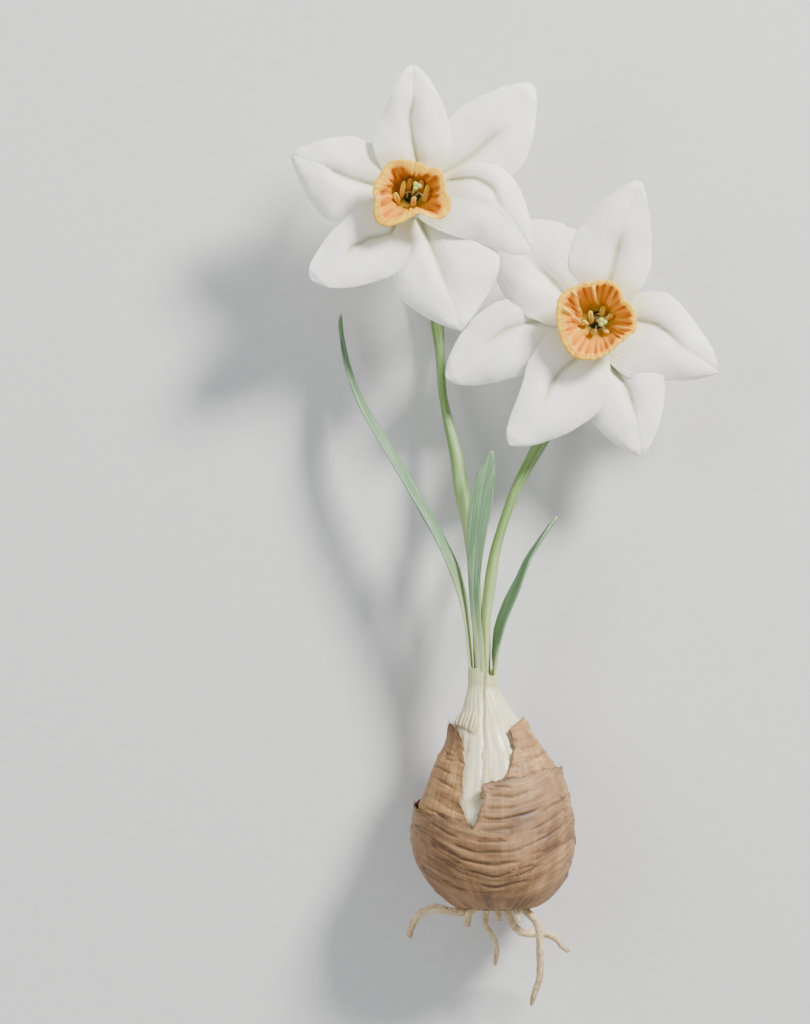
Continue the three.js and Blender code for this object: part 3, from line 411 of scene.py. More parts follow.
def through(rows):
    """Smooth values through a list of rows, each column on its own, at shares from 0 to 1."""
    rows = np.asarray(rows, float)
    last = len(rows) - 1
    padded = np.vstack([rows[:1], rows, rows[-1:]])

    def route(share):
        at = np.clip(np.asarray(share, float), 0, 1) * last
        i = np.minimum(at.astype(int), last - 1)
        f = (at - i)[..., None]
        here, after = padded[i + 1], padded[i + 2]
        slope_here = (after - padded[i]) / 2
        slope_after = (padded[i + 3] - here) / 2
        step = after - here
        bend = 3 * step - 2 * slope_here - slope_after
        twist = slope_here + slope_after - 2 * step
        return here + f * (slope_here + f * (bend + f * twist))

    return route


def stations(route, shares, reference):
    """Points of a route, with two directions across it, and the length up to each point."""
    values = route(shares)
    ahead = unit(route(shares + NUDGE)[:, :3] - route(shares - NUDGE)[:, :3])
    side = unit(reference - (ahead @ reference)[:, None] * ahead)
    lengths = np.linalg.norm(np.diff(values[:, :3], axis=0), axis=1)
    return values, side, np.cross(side, ahead), np.concatenate([[0], np.cumsum(lengths)])


def around(outline, angles):
    """The radius of a closed outline of angles and radii, rounded at its corners."""
    at, radii = np.array(sorted((angle % 360, radius) for angle, radius in outline)).T
    degrees = np.arange(360)
    radius = np.interp(degrees, at, radii, period=360)
    half, soft = ROUNDING
    window = bell(np.arange(-half, half + 1), soft)
    wrapped = np.concatenate([radius[-half:], radius, radius[:half]])
    radius = np.convolve(wrapped, window / window.sum(), "valid")
    return np.interp(np.degrees(angles) % 360, degrees, radius, period=360)


def from_line(x, y, line):
    """How far points are from a line of straight runs."""
    nearest = np.full(x.shape, np.inf)
    for (x0, y0), (x1, y1) in zip(line[:-1], line[1:]):
        t = np.clip(((x - x0) * (x1 - x0) + (y - y0) * (y1 - y0))
                    / ((x1 - x0) ** 2 + (y1 - y0) ** 2), 0, 1)
        nearest = np.minimum(nearest, np.hypot(x - x0 - t * (x1 - x0), y - y0 - t * (y1 - y0)))
    return nearest


# Shapes: points in millimetres, faces, and per point a grain (millimetres along and across the
# fibres), a tone (0 to 1, a mark of its own, which on some pieces is painted shade or painted
# highlight) and a reach (0 to 1 along the piece).


def shape(points, faces, grain, tone, reach):
    points = np.asarray(points, float)
    corners = np.array([(face[0], face[i], face[i + 1]) for face in faces
                        for i in range(1, len(face) - 1)])
    a, b, c = points[corners[:, 0]], points[corners[:, 1]], points[corners[:, 2]]
    if np.sum(a * np.cross(b, c)) < 0:
        faces = [face[::-1] for face in faces]
    count = len(points)
    return {"points": points, "faces": faces, "grain": np.asarray(grain, float).reshape(count, 3),
            "tone": np.broadcast_to(tone, count), "reach": np.broadcast_to(reach, count)}


def numbered(rows, columns, wrapped=True):
    """The number of each point of a grid. A wrapped one has its first column again at its end."""
    index = np.arange(rows * columns).reshape(rows, columns)
    return np.hstack([index, index[:, :1]]) if wrapped else index


def quads(*corners):
    return np.stack(corners, -1).reshape(-1, 4)


def flat(grid, count=2):
    """A grid of values as one column, once for each face of a blade."""
    grid = np.asarray(grid, float)
    return np.concatenate([grid.reshape(-1, *grid.shape[2:])] * count)


def blade(front, back, grain, tone, reach, wrapped=False):
    """A blade or shell between two like grids of points."""
    rows, columns = front.shape[:2]
    count = rows * columns
    index = numbered(rows, columns, wrapped)
    skin = quads(index[:-1, :-1], index[1:, :-1], index[1:, 1:], index[:-1, 1:])
    rims = [(index[0, :-1], index[0, 1:]), (index[-1, 1:], index[-1, :-1])]
    if not wrapped:
        rims += [(index[1:, 0], index[:-1, 0]), (index[:-1, -1], index[1:, -1])]
    walls = [quads(a, b, b + count, a + count) for a, b in rims]
    faces = np.vstack([skin, skin[:, ::-1] + count, *walls]).tolist()
    points = np.concatenate([front.reshape(-1, 3), back.reshape(-1, 3)])
    return shape(points, faces, flat(grain), flat(tone), flat(reach))


def capped(rings, grain, tone, reach):
    """A solid through closed rings of points, with a cap at both ends."""
    rows, columns = rings.shape[:2]
    count = rows * columns
    index = numbered(rows, columns)
    faces = quads(index[:-1, :-1], index[:-1, 1:], index[1:, 1:], index[1:, :-1]).tolist()
    faces += [[count, b, a] for a, b in zip(index[0, :-1].tolist(), index[0, 1:].tolist())]
    faces += [[count + 1, a, b] for a, b in zip(index[-1, :-1].tolist(), index[-1, 1:].tolist())]
    points, *marks = [np.concatenate([flat(v, 1), v[:1].mean(1), v[-1:].mean(1)]) for v in (
        rings, np.broadcast_to(grain, (rows, columns, 3)), np.broadcast_to(tone, (rows, columns)),
        np.broadcast_to(reach, (rows, columns)))]
    return shape(points, faces, *marks)


def tube(rows, steps, sides, reference, relief=None, tone=0.0):
    """A round or oval stem along rows of x, y, z, half-width and, if it is oval, half-depth. The
    relief, in millimetres, may depend on the share, the angle and the length."""
    shares = np.linspace(0, 1, steps + 1)
    values, side, up, length = stations(through(rows), shares, reference)
    wide, deep = values[:, 3], values[:, -1]
    angle = circle(sides)
    raised = relief(shares[:, None], angle, length[:, None]) if relief else 0.0
    x, y = (wide[:, None] + raised) * np.cos(angle), (deep[:, None] + raised) * np.sin(angle)
    rings = values[:, None, :3] + x[..., None] * side[:, None] + y[..., None] * up[:, None]
    grain = on_round(np.mean(wide), angle, length[:, None])
    return capped(rings, grain, tone, np.repeat(shares[:, None], sides, 1))


def turned(profile, sides, relief=None, tone=0.0):
    """A profile of heights and radii, turned round the vertical axis."""
    profile = np.asarray(profile, float)
    angle = circle(sides)
    z, r = profile[:, :1], profile[:, 1:]
    rings = on_round(r + (relief(z, angle) if relief else 0.0), angle, z)
    return capped(rings, rings, tone, np.repeat((z - z.min()) / np.ptp(z), sides, 1))


def grounded(made):
    """A shape with nothing under the floor."""
    made["points"][:, 2] = np.maximum(made["points"][:, 2], 0)
    return made


def moved(shapes, offset):
    for made in shapes:
        made["points"] = made["points"] + np.asarray(offset, float)
    return shapes


def linked(name, data):
    """A new object of the scene."""
    made = bpy.data.objects.new(name, data)
    bpy.context.scene.collection.objects.link(made)
    return made


def piece(name, shapes, material, node):
    """A Blender object of one or more closed shapes, which stands for one node of the frame."""
    start = 0
    faces = []
    for made in shapes:
        faces += [[i + start for i in face] for face in made["faces"]]
        start += len(made["points"])
    mesh = bpy.data.meshes.new(name)
    mesh.from_pydata((np.vstack([made["points"] for made in shapes]) * MM).tolist(), [], faces)
    grain = mesh.attributes.new("grain", "FLOAT_VECTOR", "POINT")
    grain.data.foreach_set("vector", np.vstack([made["grain"] for made in shapes]).ravel())
    for key in ("tone", "reach"):
        values = mesh.attributes.new(key, "FLOAT", "POINT")
        values.data.foreach_set("value", np.concatenate([made[key] for made in shapes]))
    mesh.shade_smooth()
    mesh.materials.append(material)
    made = linked(name, mesh)
    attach(made, "root")
    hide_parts(node)
    return made


# Materials


def shade(colour, factor):
    """A colour made darker or lighter."""
    return tuple(min(1, factor * c) for c in colour)


class Paint:
    """A material's node tree, with short ways to add to it."""

    def __init__(self, name, **sockets):
        self.material = bpy.data.materials.new(name)
        self.material.use_nodes = True
        self.tree = self.material.node_tree
        self.shader = self.tree.nodes["Principled BSDF"]
        for socket, value in sockets.items():
            self.shader.inputs[socket.replace("_", " ")].default_value = value

    def add(self, kind, inputs=(), **settings):
        node = self.tree.nodes.new(kind)
        for name, value in settings.items():
            setattr(node, name, value)
        for key, value in dict(inputs).items():
            if isinstance(value, bpy.types.NodeSocket):
                self.tree.links.new(value, node.inputs[key])
            else:
                node.inputs[key].default_value = value
        return node

    def attribute(self, name):
        node = self.add("ShaderNodeAttribute", attribute_name=name)
        return node.outputs["Vector" if name == "grain" else "Fac"]

    def place(self, scale):
        return self.add("ShaderNodeMapping", {
            "Vector": self.attribute("grain"), "Scale": scale}).outputs["Vector"]

    def noise(self, scale, detail=3, roughness=0.55, distortion=0.0):
        """Noise over the grain: the scale is in bumps to a millimetre along each of its columns."""
        return self.add("ShaderNodeTexNoise", {
            "Vector": self.place(scale), "Scale": 1.0, "Detail": detail, "Roughness": roughness,
            "Distortion": distortion}).outputs["Fac"]

    def cells(self, scale):
        return self.add("ShaderNodeTexVoronoi", {
            "Vector": self.place(scale), "Scale": 1.0}).outputs["Distance"]

    def ramp(self, factor, *stops):
        node = self.add("ShaderNodeValToRGB", {"Fac": factor})
        ramp = node.color_ramp
        while len(ramp.elements) < len(stops):
            ramp.elements.new(0.5)
        for element, (place, colour) in zip(ramp.elements, stops):
            element.position = place
            element.color = (*colour, 1.0) if isinstance(colour, tuple) else (colour,) * 3 + (1.0,)
        return node.outputs["Color"]

    def times(self, a, b):
        return self.add("ShaderNodeMath", {0: a, 1: b}, operation="MULTIPLY").outputs["Value"]

    def mix(self, share, body, colour):
        """The body with this share of a colour over it."""
        sockets = {0: share, 6: body, 7: (*colour, 1.0)}
        return self.add("ShaderNodeMix", sockets, data_type="RGBA").outputs[2]

    def laid(self, body, *layers):
        """The body with layers over it: what each follows, two stops of its share, its colour."""
        for factor, low, high, colour in layers:
            body = self.mix(self.ramp(factor, low, high), body, colour)
        return body

    def bump(self, height, distance, strength, below=None):
        inputs = {"Height": height, "Strength": strength, "Distance": distance * MM}
        if below:
            inputs["Normal"] = below
        return self.add("ShaderNodeBump", inputs).outputs["Normal"]

    def finish(self, colour, roughness, normal=None):
        for socket, value in (("Base Color", colour), ("Roughness", roughness), ("Normal", normal)):
            if value is not None:
                self.tree.links.new(value, self.shader.inputs[socket])
        return self.material


def tepal_paint():
    p = Paint("tepal_petal", IOR=1.42, Subsurface_Weight=0.35, Subsurface_Radius=(1.0, 0.95, 0.75),
              Subsurface_Scale=0.7 * MM, Sheen_Weight=0.1, Sheen_Roughness=0.5)
    reach, tone = p.attribute("reach"), p.attribute("tone")
    veins = p.noise((2.6, 1.0, 0.07), 4)
    patches = p.noise((0.12, 0.12, 0.08))
    body = p.ramp(patches, (0.3, (0.90, 0.885, 0.80)), (0.7, (0.965, 0.96, 0.915)))
    body = p.laid(body, (veins, (0.42, 0.34), (0.6, 0.0), (0.80, 0.80, 0.68)),
                  (reach, (0.08, 0.85), (0.42, 0.0), (0.80, 0.83, 0.52)),
                  (reach, (0.0, 1.0), (0.06, 0.0), (0.40, 0.42, 0.05)))
    # The tone tints the fold greenish-grey: partly the green midrib, partly painted shade in the crease.
    body = p.mix(p.times(tone, 0.8), body, (0.47, 0.51, 0.31))
    normal = p.bump(p.cells((9.0, 9.0, 4.0)), 0.05, 0.35, p.bump(veins, 0.16, 0.6))
    return p.finish(body, p.ramp(veins, (0.3, 0.42), (0.7, 0.58)), normal)


def corona_paint():
    p = Paint("corona_cup", IOR=1.42, Subsurface_Weight=0.3, Subsurface_Radius=(1.0, 0.5, 0.12),
              Subsurface_Scale=0.7 * MM, Sheen_Weight=0.06)
    reach, tone = p.attribute("reach"), p.attribute("tone")
    streaks = p.noise((1.6, 1.6, 0.12), 4)
    body = p.ramp(reach, (0.05, (0.38, 0.38, 0.03)), (0.3, (0.72, 0.36, 0.006)),
                  (0.62, (0.87, 0.32, 0.002)), (0.78, (0.90, 0.42, 0.004)), (0.9, (0.94, 0.62, 0.03)),
                  (1.0, (0.92, 0.50, 0.008)))
    # The streaks are the cup's own. The tone above a half is painted shade in the pleats' grooves, and
    # below a half painted highlight on the folds.
    body = p.laid(body, (streaks, (0.38, 0.5), (0.6, 0.0), (0.62, 0.17, 0.002)),
                  (tone, (0.5, 0.0), (1.0, 0.85), (0.42, 0.10, 0.002)),
                  (tone, (0.0, 0.7), (0.5, 0.0), (0.96, 0.66, 0.10)))
    normal = p.bump(p.cells((7.0, 7.0, 4.0)), 0.05, 0.4, p.bump(streaks, 0.25, 0.7))
    return p.finish(body, p.ramp(streaks, (0.3, 0.38), (0.7, 0.55)), normal)


def leaf_paint(name, light, dark, pale):
    """Green tissue with veins along it, a waxy bloom over it, and a pale base."""
    p = Paint(name, IOR=1.45, Subsurface_Weight=0.12, Subsurface_Radius=(0.5, 0.9, 0.3),
              Subsurface_Scale=1.0 * MM, Coat_Weight=0.12, Coat_Roughness=0.35)
    reach, tone = p.attribute("reach"), p.attribute("tone")
    veins = p.noise((3.4, 3.4, 0.05))
    bloom = p.noise((1.3, 1.3, 0.07), 5, 0.62)
    body = p.ramp(p.noise((0.8, 0.8, 0.03)), (0.3, dark), (0.7, light))
    body = p.laid(body, (veins, (0.4, 0.6), (0.58, 0.0), shade(dark, 0.62)),
                  (bloom, (0.45, 0.0), (0.75, 0.4), tuple(0.33 + 0.5 * c for c in light)),
                  (reach, (0.10, 0.9), (0.34, 0.0), pale))
    body = p.mix(tone, body, (0.50, 0.42, 0.16))
    normal = p.bump(p.cells((6.0, 6.0, 2.2)), 0.04, 0.35, p.bump(veins, 0.2, 0.7))
    return p.finish(body, p.ramp(bloom, (0.35, 0.36), (0.7, 0.58)), normal)


def tunic_paint(name, pale, brown, dark, shine, fibrous):
    """Dry papery skin: fibres that run from the base to the neck, wrinkles across them, stains. Painted
    highlight lightens the wrinkles' ridges and painted shade darkens their hollows.
    """
    p = Paint(name, IOR=1.46, Subsurface_Weight=0.06, Subsurface_Radius=(1.0, 0.5, 0.25),
              Subsurface_Scale=0.6 * MM, Coat_Weight=shine, Coat_Roughness=0.3)
    reach, tone = p.attribute("reach"), p.attribute("tone")
    above_end = p.ramp(reach, (0.80, 1.0), (0.90, 0.12))
    fibres = p.noise((2.0, 2.0, 0.05))
    threads = p.noise((0.5, 0.5, 0.02), 3, 0.6)
    wrinkles = p.noise((0.10, 0.10, 0.9), 4, 0.55, 0.4)
    stains = p.noise((0.13, 0.13, 0.11), 5, 0.62)
    specks = p.noise((1.3, 1.3, 1.0), 4, 0.7)
    body = p.ramp(stains, (0.28, dark), (0.46, brown), (0.72, pale))
    body = p.laid(body, (threads, (0.35, 0.6 * fibrous), (0.55, 0.0), shade(brown, 0.6)),
                  (fibres, (0.36, 0.6 * fibrous), (0.54, 0.0), shade(brown, 0.5)))
    # Painted highlight on the wrinkles' ridges and painted shade in their hollows.
    for low, high, colour in (((0.56, 0.0), (0.7, 0.35), shade(pale, 1.35)),
                              ((0.33, 0.42), (0.45, 0.0), shade(dark, 0.6))):
        body = p.mix(p.times(p.ramp(wrinkles, low, high), above_end), body, colour)
    body = p.laid(body, (specks, (0.24, 0.6), (0.36, 0.0), shade(dark, 0.4)))
    # The tone darkens with painted shade the creases, the hollows of the gathers and the curled flap, and
    # darkens the torn rims and the hem.
    body = p.mix(tone, body, shade(dark, 0.30))
    normal = p.bump(wrinkles, 0.3, 0.6, p.bump(fibres, 0.16 * fibrous, 0.7, p.bump(specks, 0.08, 0.5)))
    return p.finish(body, p.ramp(stains, (0.3, 0.52), (0.7, 0.8)), normal)


def flesh_paint():
    p = Paint("bulb_scale_flesh", IOR=1.44, Subsurface_Weight=0.3, Subsurface_Radius=(1.0, 0.85, 0.5),
              Subsurface_Scale=2.0 * MM, Coat_Weight=0.25, Coat_Roughness=0.25)
    reach, tone = p.attribute("reach"), p.attribute("tone")
    veins = p.noise((1.5, 1.5, 0.035), 4)
    lines = p.noise((4.5, 4.5, 0.03), 2)
    stains = p.noise((0.35, 0.35, 0.14), 5, 0.65)
    body = p.ramp(veins, (0.35, (0.62, 0.56, 0.34)), (0.62, (0.86, 0.81, 0.60)))
    body = p.laid(body, (lines, (0.36, 0.45), (0.48, 0.0), (0.46, 0.42, 0.20)),
                  (reach, (0.0, 0.9), (0.30, 0.0), (0.47, 0.54, 0.23)),
                  (stains, (0.52, 0.0), (0.74, 0.65), (0.46, 0.27, 0.10)))
    # The tone: painted shade in the furrow, between the skirt's pleats and down the socket, painted shadow
    # under the hem, and the skirt's own tan.
    body = p.mix(tone, body, (0.26, 0.15, 0.06))
    normal = p.bump(veins, 0.1, 0.6, p.bump(lines, 0.05, 0.6))
    return p.finish(body, p.ramp(stains, (0.3, 0.3), (0.7, 0.5)), normal)


def root_paint():
    p = Paint("root_flesh", IOR=1.44, Subsurface_Weight=0.2, Subsurface_Radius=(1.0, 0.75, 0.45),
              Subsurface_Scale=1.0 * MM)
    reach, tone = p.attribute("reach"), p.attribute("tone")
    streaks = p.noise((2.0, 2.0, 0.16), 4)
    rings = p.noise((0.5, 0.5, 1.8), 4, 0.6)
    soil = p.noise((0.7, 0.7, 0.5), 6, 0.7)
    patches = p.noise((0.16, 0.16, 0.12))
    body = p.ramp(streaks, (0.35, (0.52, 0.38, 0.20)), (0.62, (0.78, 0.66, 0.42)))
    body = p.laid(body, (patches, (0.45, 0.0), (0.62, 0.6), (0.40, 0.25, 0.11)),
                  (rings, (0.36, 0.4), (0.5, 0.0), (0.36, 0.23, 0.11)),
                  (soil, (0.52, 0.0), (0.68, 0.8), (0.24, 0.15, 0.08)),
                  (reach, (0.72, 0.0), (1.0, 0.6), (0.36, 0.22, 0.11)))
    body = p.mix(tone, body, (0.22, 0.13, 0.06))
    normal = p.bump(rings, 0.2, 0.8, p.bump(soil, 0.15, 0.6))
    return p.finish(body, p.ramp(soil, (0.4, 0.5), (0.6, 0.8)), normal)


def pollen_paint():
    p = Paint("anther_pollen", IOR=1.4, Sheen_Weight=0.3, Subsurface_Weight=0.1,
              Subsurface_Scale=0.5 * MM)
    grains = p.cells((11.0, 11.0, 11.0))
    patches = p.noise((1.4, 1.4, 0.6))
    body = p.ramp(patches, (0.35, (0.86, 0.52, 0.01)), (0.65, (0.93, 0.70, 0.05)))
    body = p.laid(body, (grains, (0.1, 0.0), (0.6, 0.5), (0.68, 0.38, 0.01)))
    body = p.mix(p.attribute("tone"), body, (0.78, 0.80, 0.40))
    return p.finish(body, p.ramp(grains, (0.1, 0.65), (0.6, 0.85)), p.bump(grains, 0.12, 0.9))


def pistil_paint():
    p = Paint("pistil_flesh", IOR=1.45, Subsurface_Weight=0.3, Subsurface_Radius=(0.7, 0.9, 0.3),
              Subsurface_Scale=1.0 * MM, Coat_Weight=0.3, Coat_Roughness=0.2)
    streaks = p.noise((3.0, 3.0, 0.3))
    grains = p.cells((9.0, 9.0, 9.0))
    body = p.ramp(streaks, (0.35, (0.62, 0.70, 0.30)), (0.65, (0.82, 0.86, 0.52)))
    body = p.mix(p.attribute("tone"), body, (0.46, 0.50, 0.09))
    return p.finish(body, p.ramp(grains, (0.1, 0.35), (0.6, 0.6)), p.bump(grains, 0.1, 0.8))


def spathe_paint():
    p = Paint("spathe_paper", IOR=1.45, Subsurface_Weight=0.25, Subsurface_Radius=(1.0, 0.7, 0.4),
              Subsurface_Scale=0.5 * MM, Coat_Weight=0.1)
    veins = p.noise((2.4, 2.4, 0.06), 4)
    stains = p.noise((0.4, 0.4, 0.2), 5, 0.65)
    body = p.ramp(stains, (0.3, (0.50, 0.37, 0.20)), (0.65, (0.74, 0.63, 0.42)))
    body = p.laid(body, (veins, (0.4, 0.75), (0.55, 0.0), (0.30, 0.19, 0.09)))
    return p.finish(body, p.ramp(stains, (0.3, 0.5), (0.7, 0.75)), p.bump(veins, 0.25, 0.8))


def floor_paint():
    p = Paint("floor_card", IOR=1.45)
    coordinates = p.add("ShaderNodeTexCoord").outputs["Object"]
    dust = p.add("ShaderNodeTexNoise", {
        "Vector": coordinates, "Scale": 260.0, "Detail": 3.0}).outputs["Fac"]
    body = p.ramp(dust, (0.3, (0.60, 0.60, 0.60)), (0.7, (0.63, 0.63, 0.625)))
    return p.finish(body, p.ramp(dust, (0.3, 0.78), (0.7, 0.86)))


# The flowers


def half_width(width, peak, taper, blunt, along):
    """A tepal's half-width: it widens to its peak, and from there it tapers to a blunt tip."""
    rising = 0.36 + 0.64 * np.sin(np.pi / 2 * np.clip(along / peak, 0, 1) ** 0.8)
    past = np.clip((along - peak) / (1 - peak), 0, 1)
    falling = np.clip(1 - past ** taper, 0, 1) ** blunt
    return width * np.where(along < peak, rising, falling) + 0.03


def fold_way(fold, angle, length, sway, along):
    """How far a tepal's fold runs to one side of its middle line, and how strong the fold is."""
    fold = np.asarray(fold, float)
    share = (fold @ [math.cos(angle), math.sin(angle)] - TEPAL_START) / (length - TEPAL_START)
    offset = fold @ [-math.sin(angle), math.cos(angle)] - sway * np.sin(np.pi * share)
    line = np.interp(along, [0, *share, 1], [0, *offset, 0])
    end = share[-1]
    return line, between(along, 0.02, 0.14, end - 0.16, end + 0.10)


def tepal(spec, edges, fold, order, seed):
    """A petal-like blade with a fold down it, veins along it and soft waves near its edges."""
    angle, length, width, peak, sway, taper, blunt, layer, lift = spec
    swell_left, swell_right, roll_left, roll_right = edges
    angle = math.radians(angle)
    rows, columns = TEPAL_GRID
    along = 1 - (1 - np.linspace(0, 1, rows)[:, None]) ** 1.5
    across = np.linspace(-1, 1, columns)[None, :]
    across = 0.5 * (across + np.sin(np.pi / 2 * across))
    on_left = across > 0
    radius = TEPAL_START + (length - TEPAL_START) * along
    half = half_width(width, peak, taper, blunt, along)
    bulge = np.where(on_left, swell_left, swell_right) * bell(along - 0.66, 0.2)
    half = half + bulge * np.abs(across)
    place = spread(radius, across * half, seed * 7.0)
    line, fade = fold_way(fold, angle, length, sway, along)
    from_fold = across * half - line
    groove = fade * sum(deep * bell(from_fold, wide) for deep, wide in (FOLD_HOLLOW, FOLD_CREASE))
    midrib = 0.16 * bell(from_fold, 0.5) * smoothstep(along, 0.5, 0.7)

    veins = from_fold / np.maximum(half, 2.0) * 11 + 0.5 * rough(place, (9, 7, 5), 2, seed)
    ribs = (0.07 * np.sin(2 * np.pi * veins) + 0.03 * np.sin(5.1 * np.pi * veins + seed))
    ribs = ribs * smoothstep(along, 0.05, 0.2) * (1 - 0.5 * np.abs(across))
    waves = 0.7 * rough(spread(radius + 40, 30 * np.sign(across), seed), (9, 20, 1), 2, seed + 3)
    waves = waves * np.abs(across) ** 2.5 * smoothstep(along, 0.32, 0.7)
    arch = np.where(on_left, roll_left, roll_right) * (0.45 * across ** 2 + 0.55 * np.abs(across) ** 5)
    arch = arch * smoothstep(along, 0.22, 0.6) * (1 - 0.5 * smoothstep(along, 0.85, 1.0))
    swell = 0.45 * rough(place, (12, 9, 5), 2, seed + 9) * smoothstep(along, 0.2, 0.5)
    swell = swell + 1.1 * np.sin(np.pi * smoothstep(along, 0.15, 1.0)) * (1 - across ** 2)
    shoulders = 0.5 * np.sin(np.pi * np.clip(np.abs(across), 0, 1)) * np.sin(np.pi * along)
    tip = -0.8 * smoothstep(along, 0.93, 1.0)

    z = layer * TEPAL_LAYER * smoothstep(along, 0, 0.3) + TEPAL_STACK * order
    z = z + lift * smoothstep(along, 0.35, 1.15) - groove - midrib + ribs + waves - arch
    z = z + swell + shoulders + tip - 0.5 * smoothstep(along, 0.6, 0.95)
    edge = 0.18 * rough(place + 50, (3.2, 40, 9), 3, seed + 5) * smoothstep(along, 0.1, 0.4)
    sideways = sway * np.sin(np.pi * along) + across * (half + edge)
    x = radius * math.cos(angle) - sideways * math.sin(angle)
    y = radius * math.sin(angle) + sideways * math.cos(angle)
    front = spread(x, y, z)
    thickness = 0.22 + 0.4 * (1 - np.abs(across) ** 4) * (1 - 0.5 * along)
    back = front - UP * (thickness * smoothstep(half, 0.0, 2.0) + 0.04)[..., None]
    grain = spread(across * half - line * 0.5 + 60 * seed, 0 * along, radius)
    # A greenish-grey tint along the fold: partly the tepal's own green midrib, partly painted shade in the
    # crease.
    tone = fade * bell(from_fold, 0.75) * (1 + 0.25 * noise(place * [1.2, 0.8, 1], seed))
    tone = np.clip(tone + 0.3 * fade * bell(from_fold, 2.4), 0, 1)
    return blade(front, back, grain, tone + 0 * across, along + 0 * across)


def floral_tube(length):
    """The ribbed tube under the tepals, and the pocket in it that holds stamens and style."""
    foot = [[share * length, radius] for share, radius in TUBE_FOOT]
    rows, sides = TUBE_GRID
    way = np.linspace(0, 1, rows)

    def ribbed(z, angle):
        outside = between(z, -length, -length + 3, -2.0, 0.2)
        return outside * (0.16 * np.cos(6 * angle) + 0.05 * np.cos(18 * angle))

    made = turned(through(foot + TUBE_FLARE)(way), sides, ribbed)
    # It is greenish at its foot and in its pocket, and nearly white where it opens out.
    green = 0.1 + 0.28 * between(way, 0.1, 0.55, 0.62, 0.72)
    green = green * (1 - smoothstep(way, 0.70, 0.76))
    made["reach"] = np.concatenate([np.repeat(green, sides), [0.1, 0.0]])
    return made


def corona(side, seed):
    """The pleated cup with its frilled lip."""
    rows, columns = CORONA_GRID
    angle = circle(columns)
    s = np.linspace(0, 1, rows)[:, None]
    height, radius, mouth_share, rim_share = np.moveaxis(through(CORONA_SIDE)(s[:, 0]), -1, 0)[..., None]
    rim, mouth = around(CORONA_RIM[side], angle), around(CORONA_MOUTH[side], angle)
    count, depth, left_over = PLEATS[side]
    ring = on_round(3, angle, seed)
    phase = count * angle + 2.4 * noise(ring, seed)
    strength = 0.65 + 0.5 * noise(ring * 1.7, seed + 4)
    pleat = np.sin(phase) + 0.35 * np.sin(2 * phase + 0.9 + 2 * noise(ring * 2.3, seed + 6))
    pleat = strength * (pleat + 0.3 * np.sin(3 * phase + 3 * noise(ring * 3, seed + 8)))
    up = smoothstep(s, 0.12, 0.62) * (1 - (1 - left_over) * smoothstep(s, 0.68, 0.86))
    r = radius * (1 - mouth_share - rim_share) + mouth * mouth_share + rim * rim_share
    r = r - depth * up * pleat + 0.12 * rough(on_round(20, angle, 14 * s), (5, 5, 3), 3, seed)
    frill = 0.3 * noise(ring * 1.3, seed + 11) + 0.3 * left_over * np.sin(phase)
    h = height + CORONA_UPTURN * rim_share * (CORONA_MEAN - rim) + smoothstep(s, 0.78, 1.0) * frill
    h = h - 0.35 * smoothstep(s, 0.94, 1.0)
    run_r, run_h = np.gradient(r, axis=0), np.gradient(h, axis=0)
    scale = np.hypot(run_r, run_h)
    run_r, run_h = run_r / scale, run_h / scale
    # The folds push the wall in, by their height where they run and less away from them.
    x, y = r * np.cos(angle), r * np.sin(angle)
    folded = np.max([high * bell(from_line(x, y, line), 0.55) for line, high in CUP_FOLDS[side]], axis=0)
    folded = folded * between(s, 0.16, 0.34, 0.8, 0.92)
    r, h = r - folded * run_h, h + folded * run_r
    wall = CORONA_WALL * (1 - 0.5 * smoothstep(s, 0.8, 1.0))
    outer = on_round(r, angle, CORONA_FOOT + h)
    inner = on_round(r - wall * run_h, angle, CORONA_FOOT + h + wall * run_r)
    grain = on_round(9, angle, 16 * s + 30 * seed)
    # Painted shade darkens the grooves between the pleats, and painted highlight lightens the folds that
    # stand in.
    groove = np.clip(0.35 - pleat, 0, 1) * up * (1 - smoothstep(s, 0.7, 0.84))
    tone = 0.5 + 0.5 * groove * (1 - np.clip(folded, 0, 1)) - 0.5 * np.clip(0.8 * folded, 0, 1)
    return blade(inner, outer, grain, tone, s + 0 * angle, wrapped=True)


def stamen(low, high, k, seed):
    """A filament out of the pocket, and a four-lobed anther that lies across its tip."""
    angle = (k + 0.5) / 6 * 2 * math.pi
    low, high = np.array(low), np.array(high)
    foot = FILAMENT_CIRCLE * np.array([math.cos(angle), math.sin(angle), 0])
    lean = np.array([-math.sin(angle), math.cos(angle), 0])
    held = low + 0.3 * (high - low)
    under = held - 0.9 * UP
    filament = tube([[*(foot + (POCKET_FLOOR + 0.3) * UP), 0.42], [*(foot - UP), 0.36],
                     [*((foot + under) / 2 + 0.2 * UP), 0.3], [*under, 0.24], [*held, 0.18]],
                    *FILAMENT_GRID, lean, tone=1.0)
    rows = [[*(low + t * (high - low) + math.sin(math.pi * t) * 0.5 * UP), *radii]
            for t, *radii in ANTHER_SHAPE]

    def lobed(share, turn, length):
        grooves = -0.34 * np.abs(np.sin(turn)) ** 8 - 0.16 * np.abs(np.cos(turn)) ** 10
        grains = rough(on_round(3, turn, length + 9 * k), (0.7, 0.7, 0.5), 2, seed + k)
        return grooves * np.sin(np.pi * share) + 0.09 * grains

    return [filament, tube(rows, *ANTHER_GRID, ACROSS, lobed)]


def stamens(side, seed):
    """Six stamens that stand on one ring on the pocket's floor."""
    ring = turned([[POCKET_FLOOR + up, radius] for up, radius in STAMEN_RING], 36, tone=1.0)
    return [ring] + [made for k, (low, high) in enumerate(ANTHERS[side])
                     for made in stamen(low, high, k, seed)]


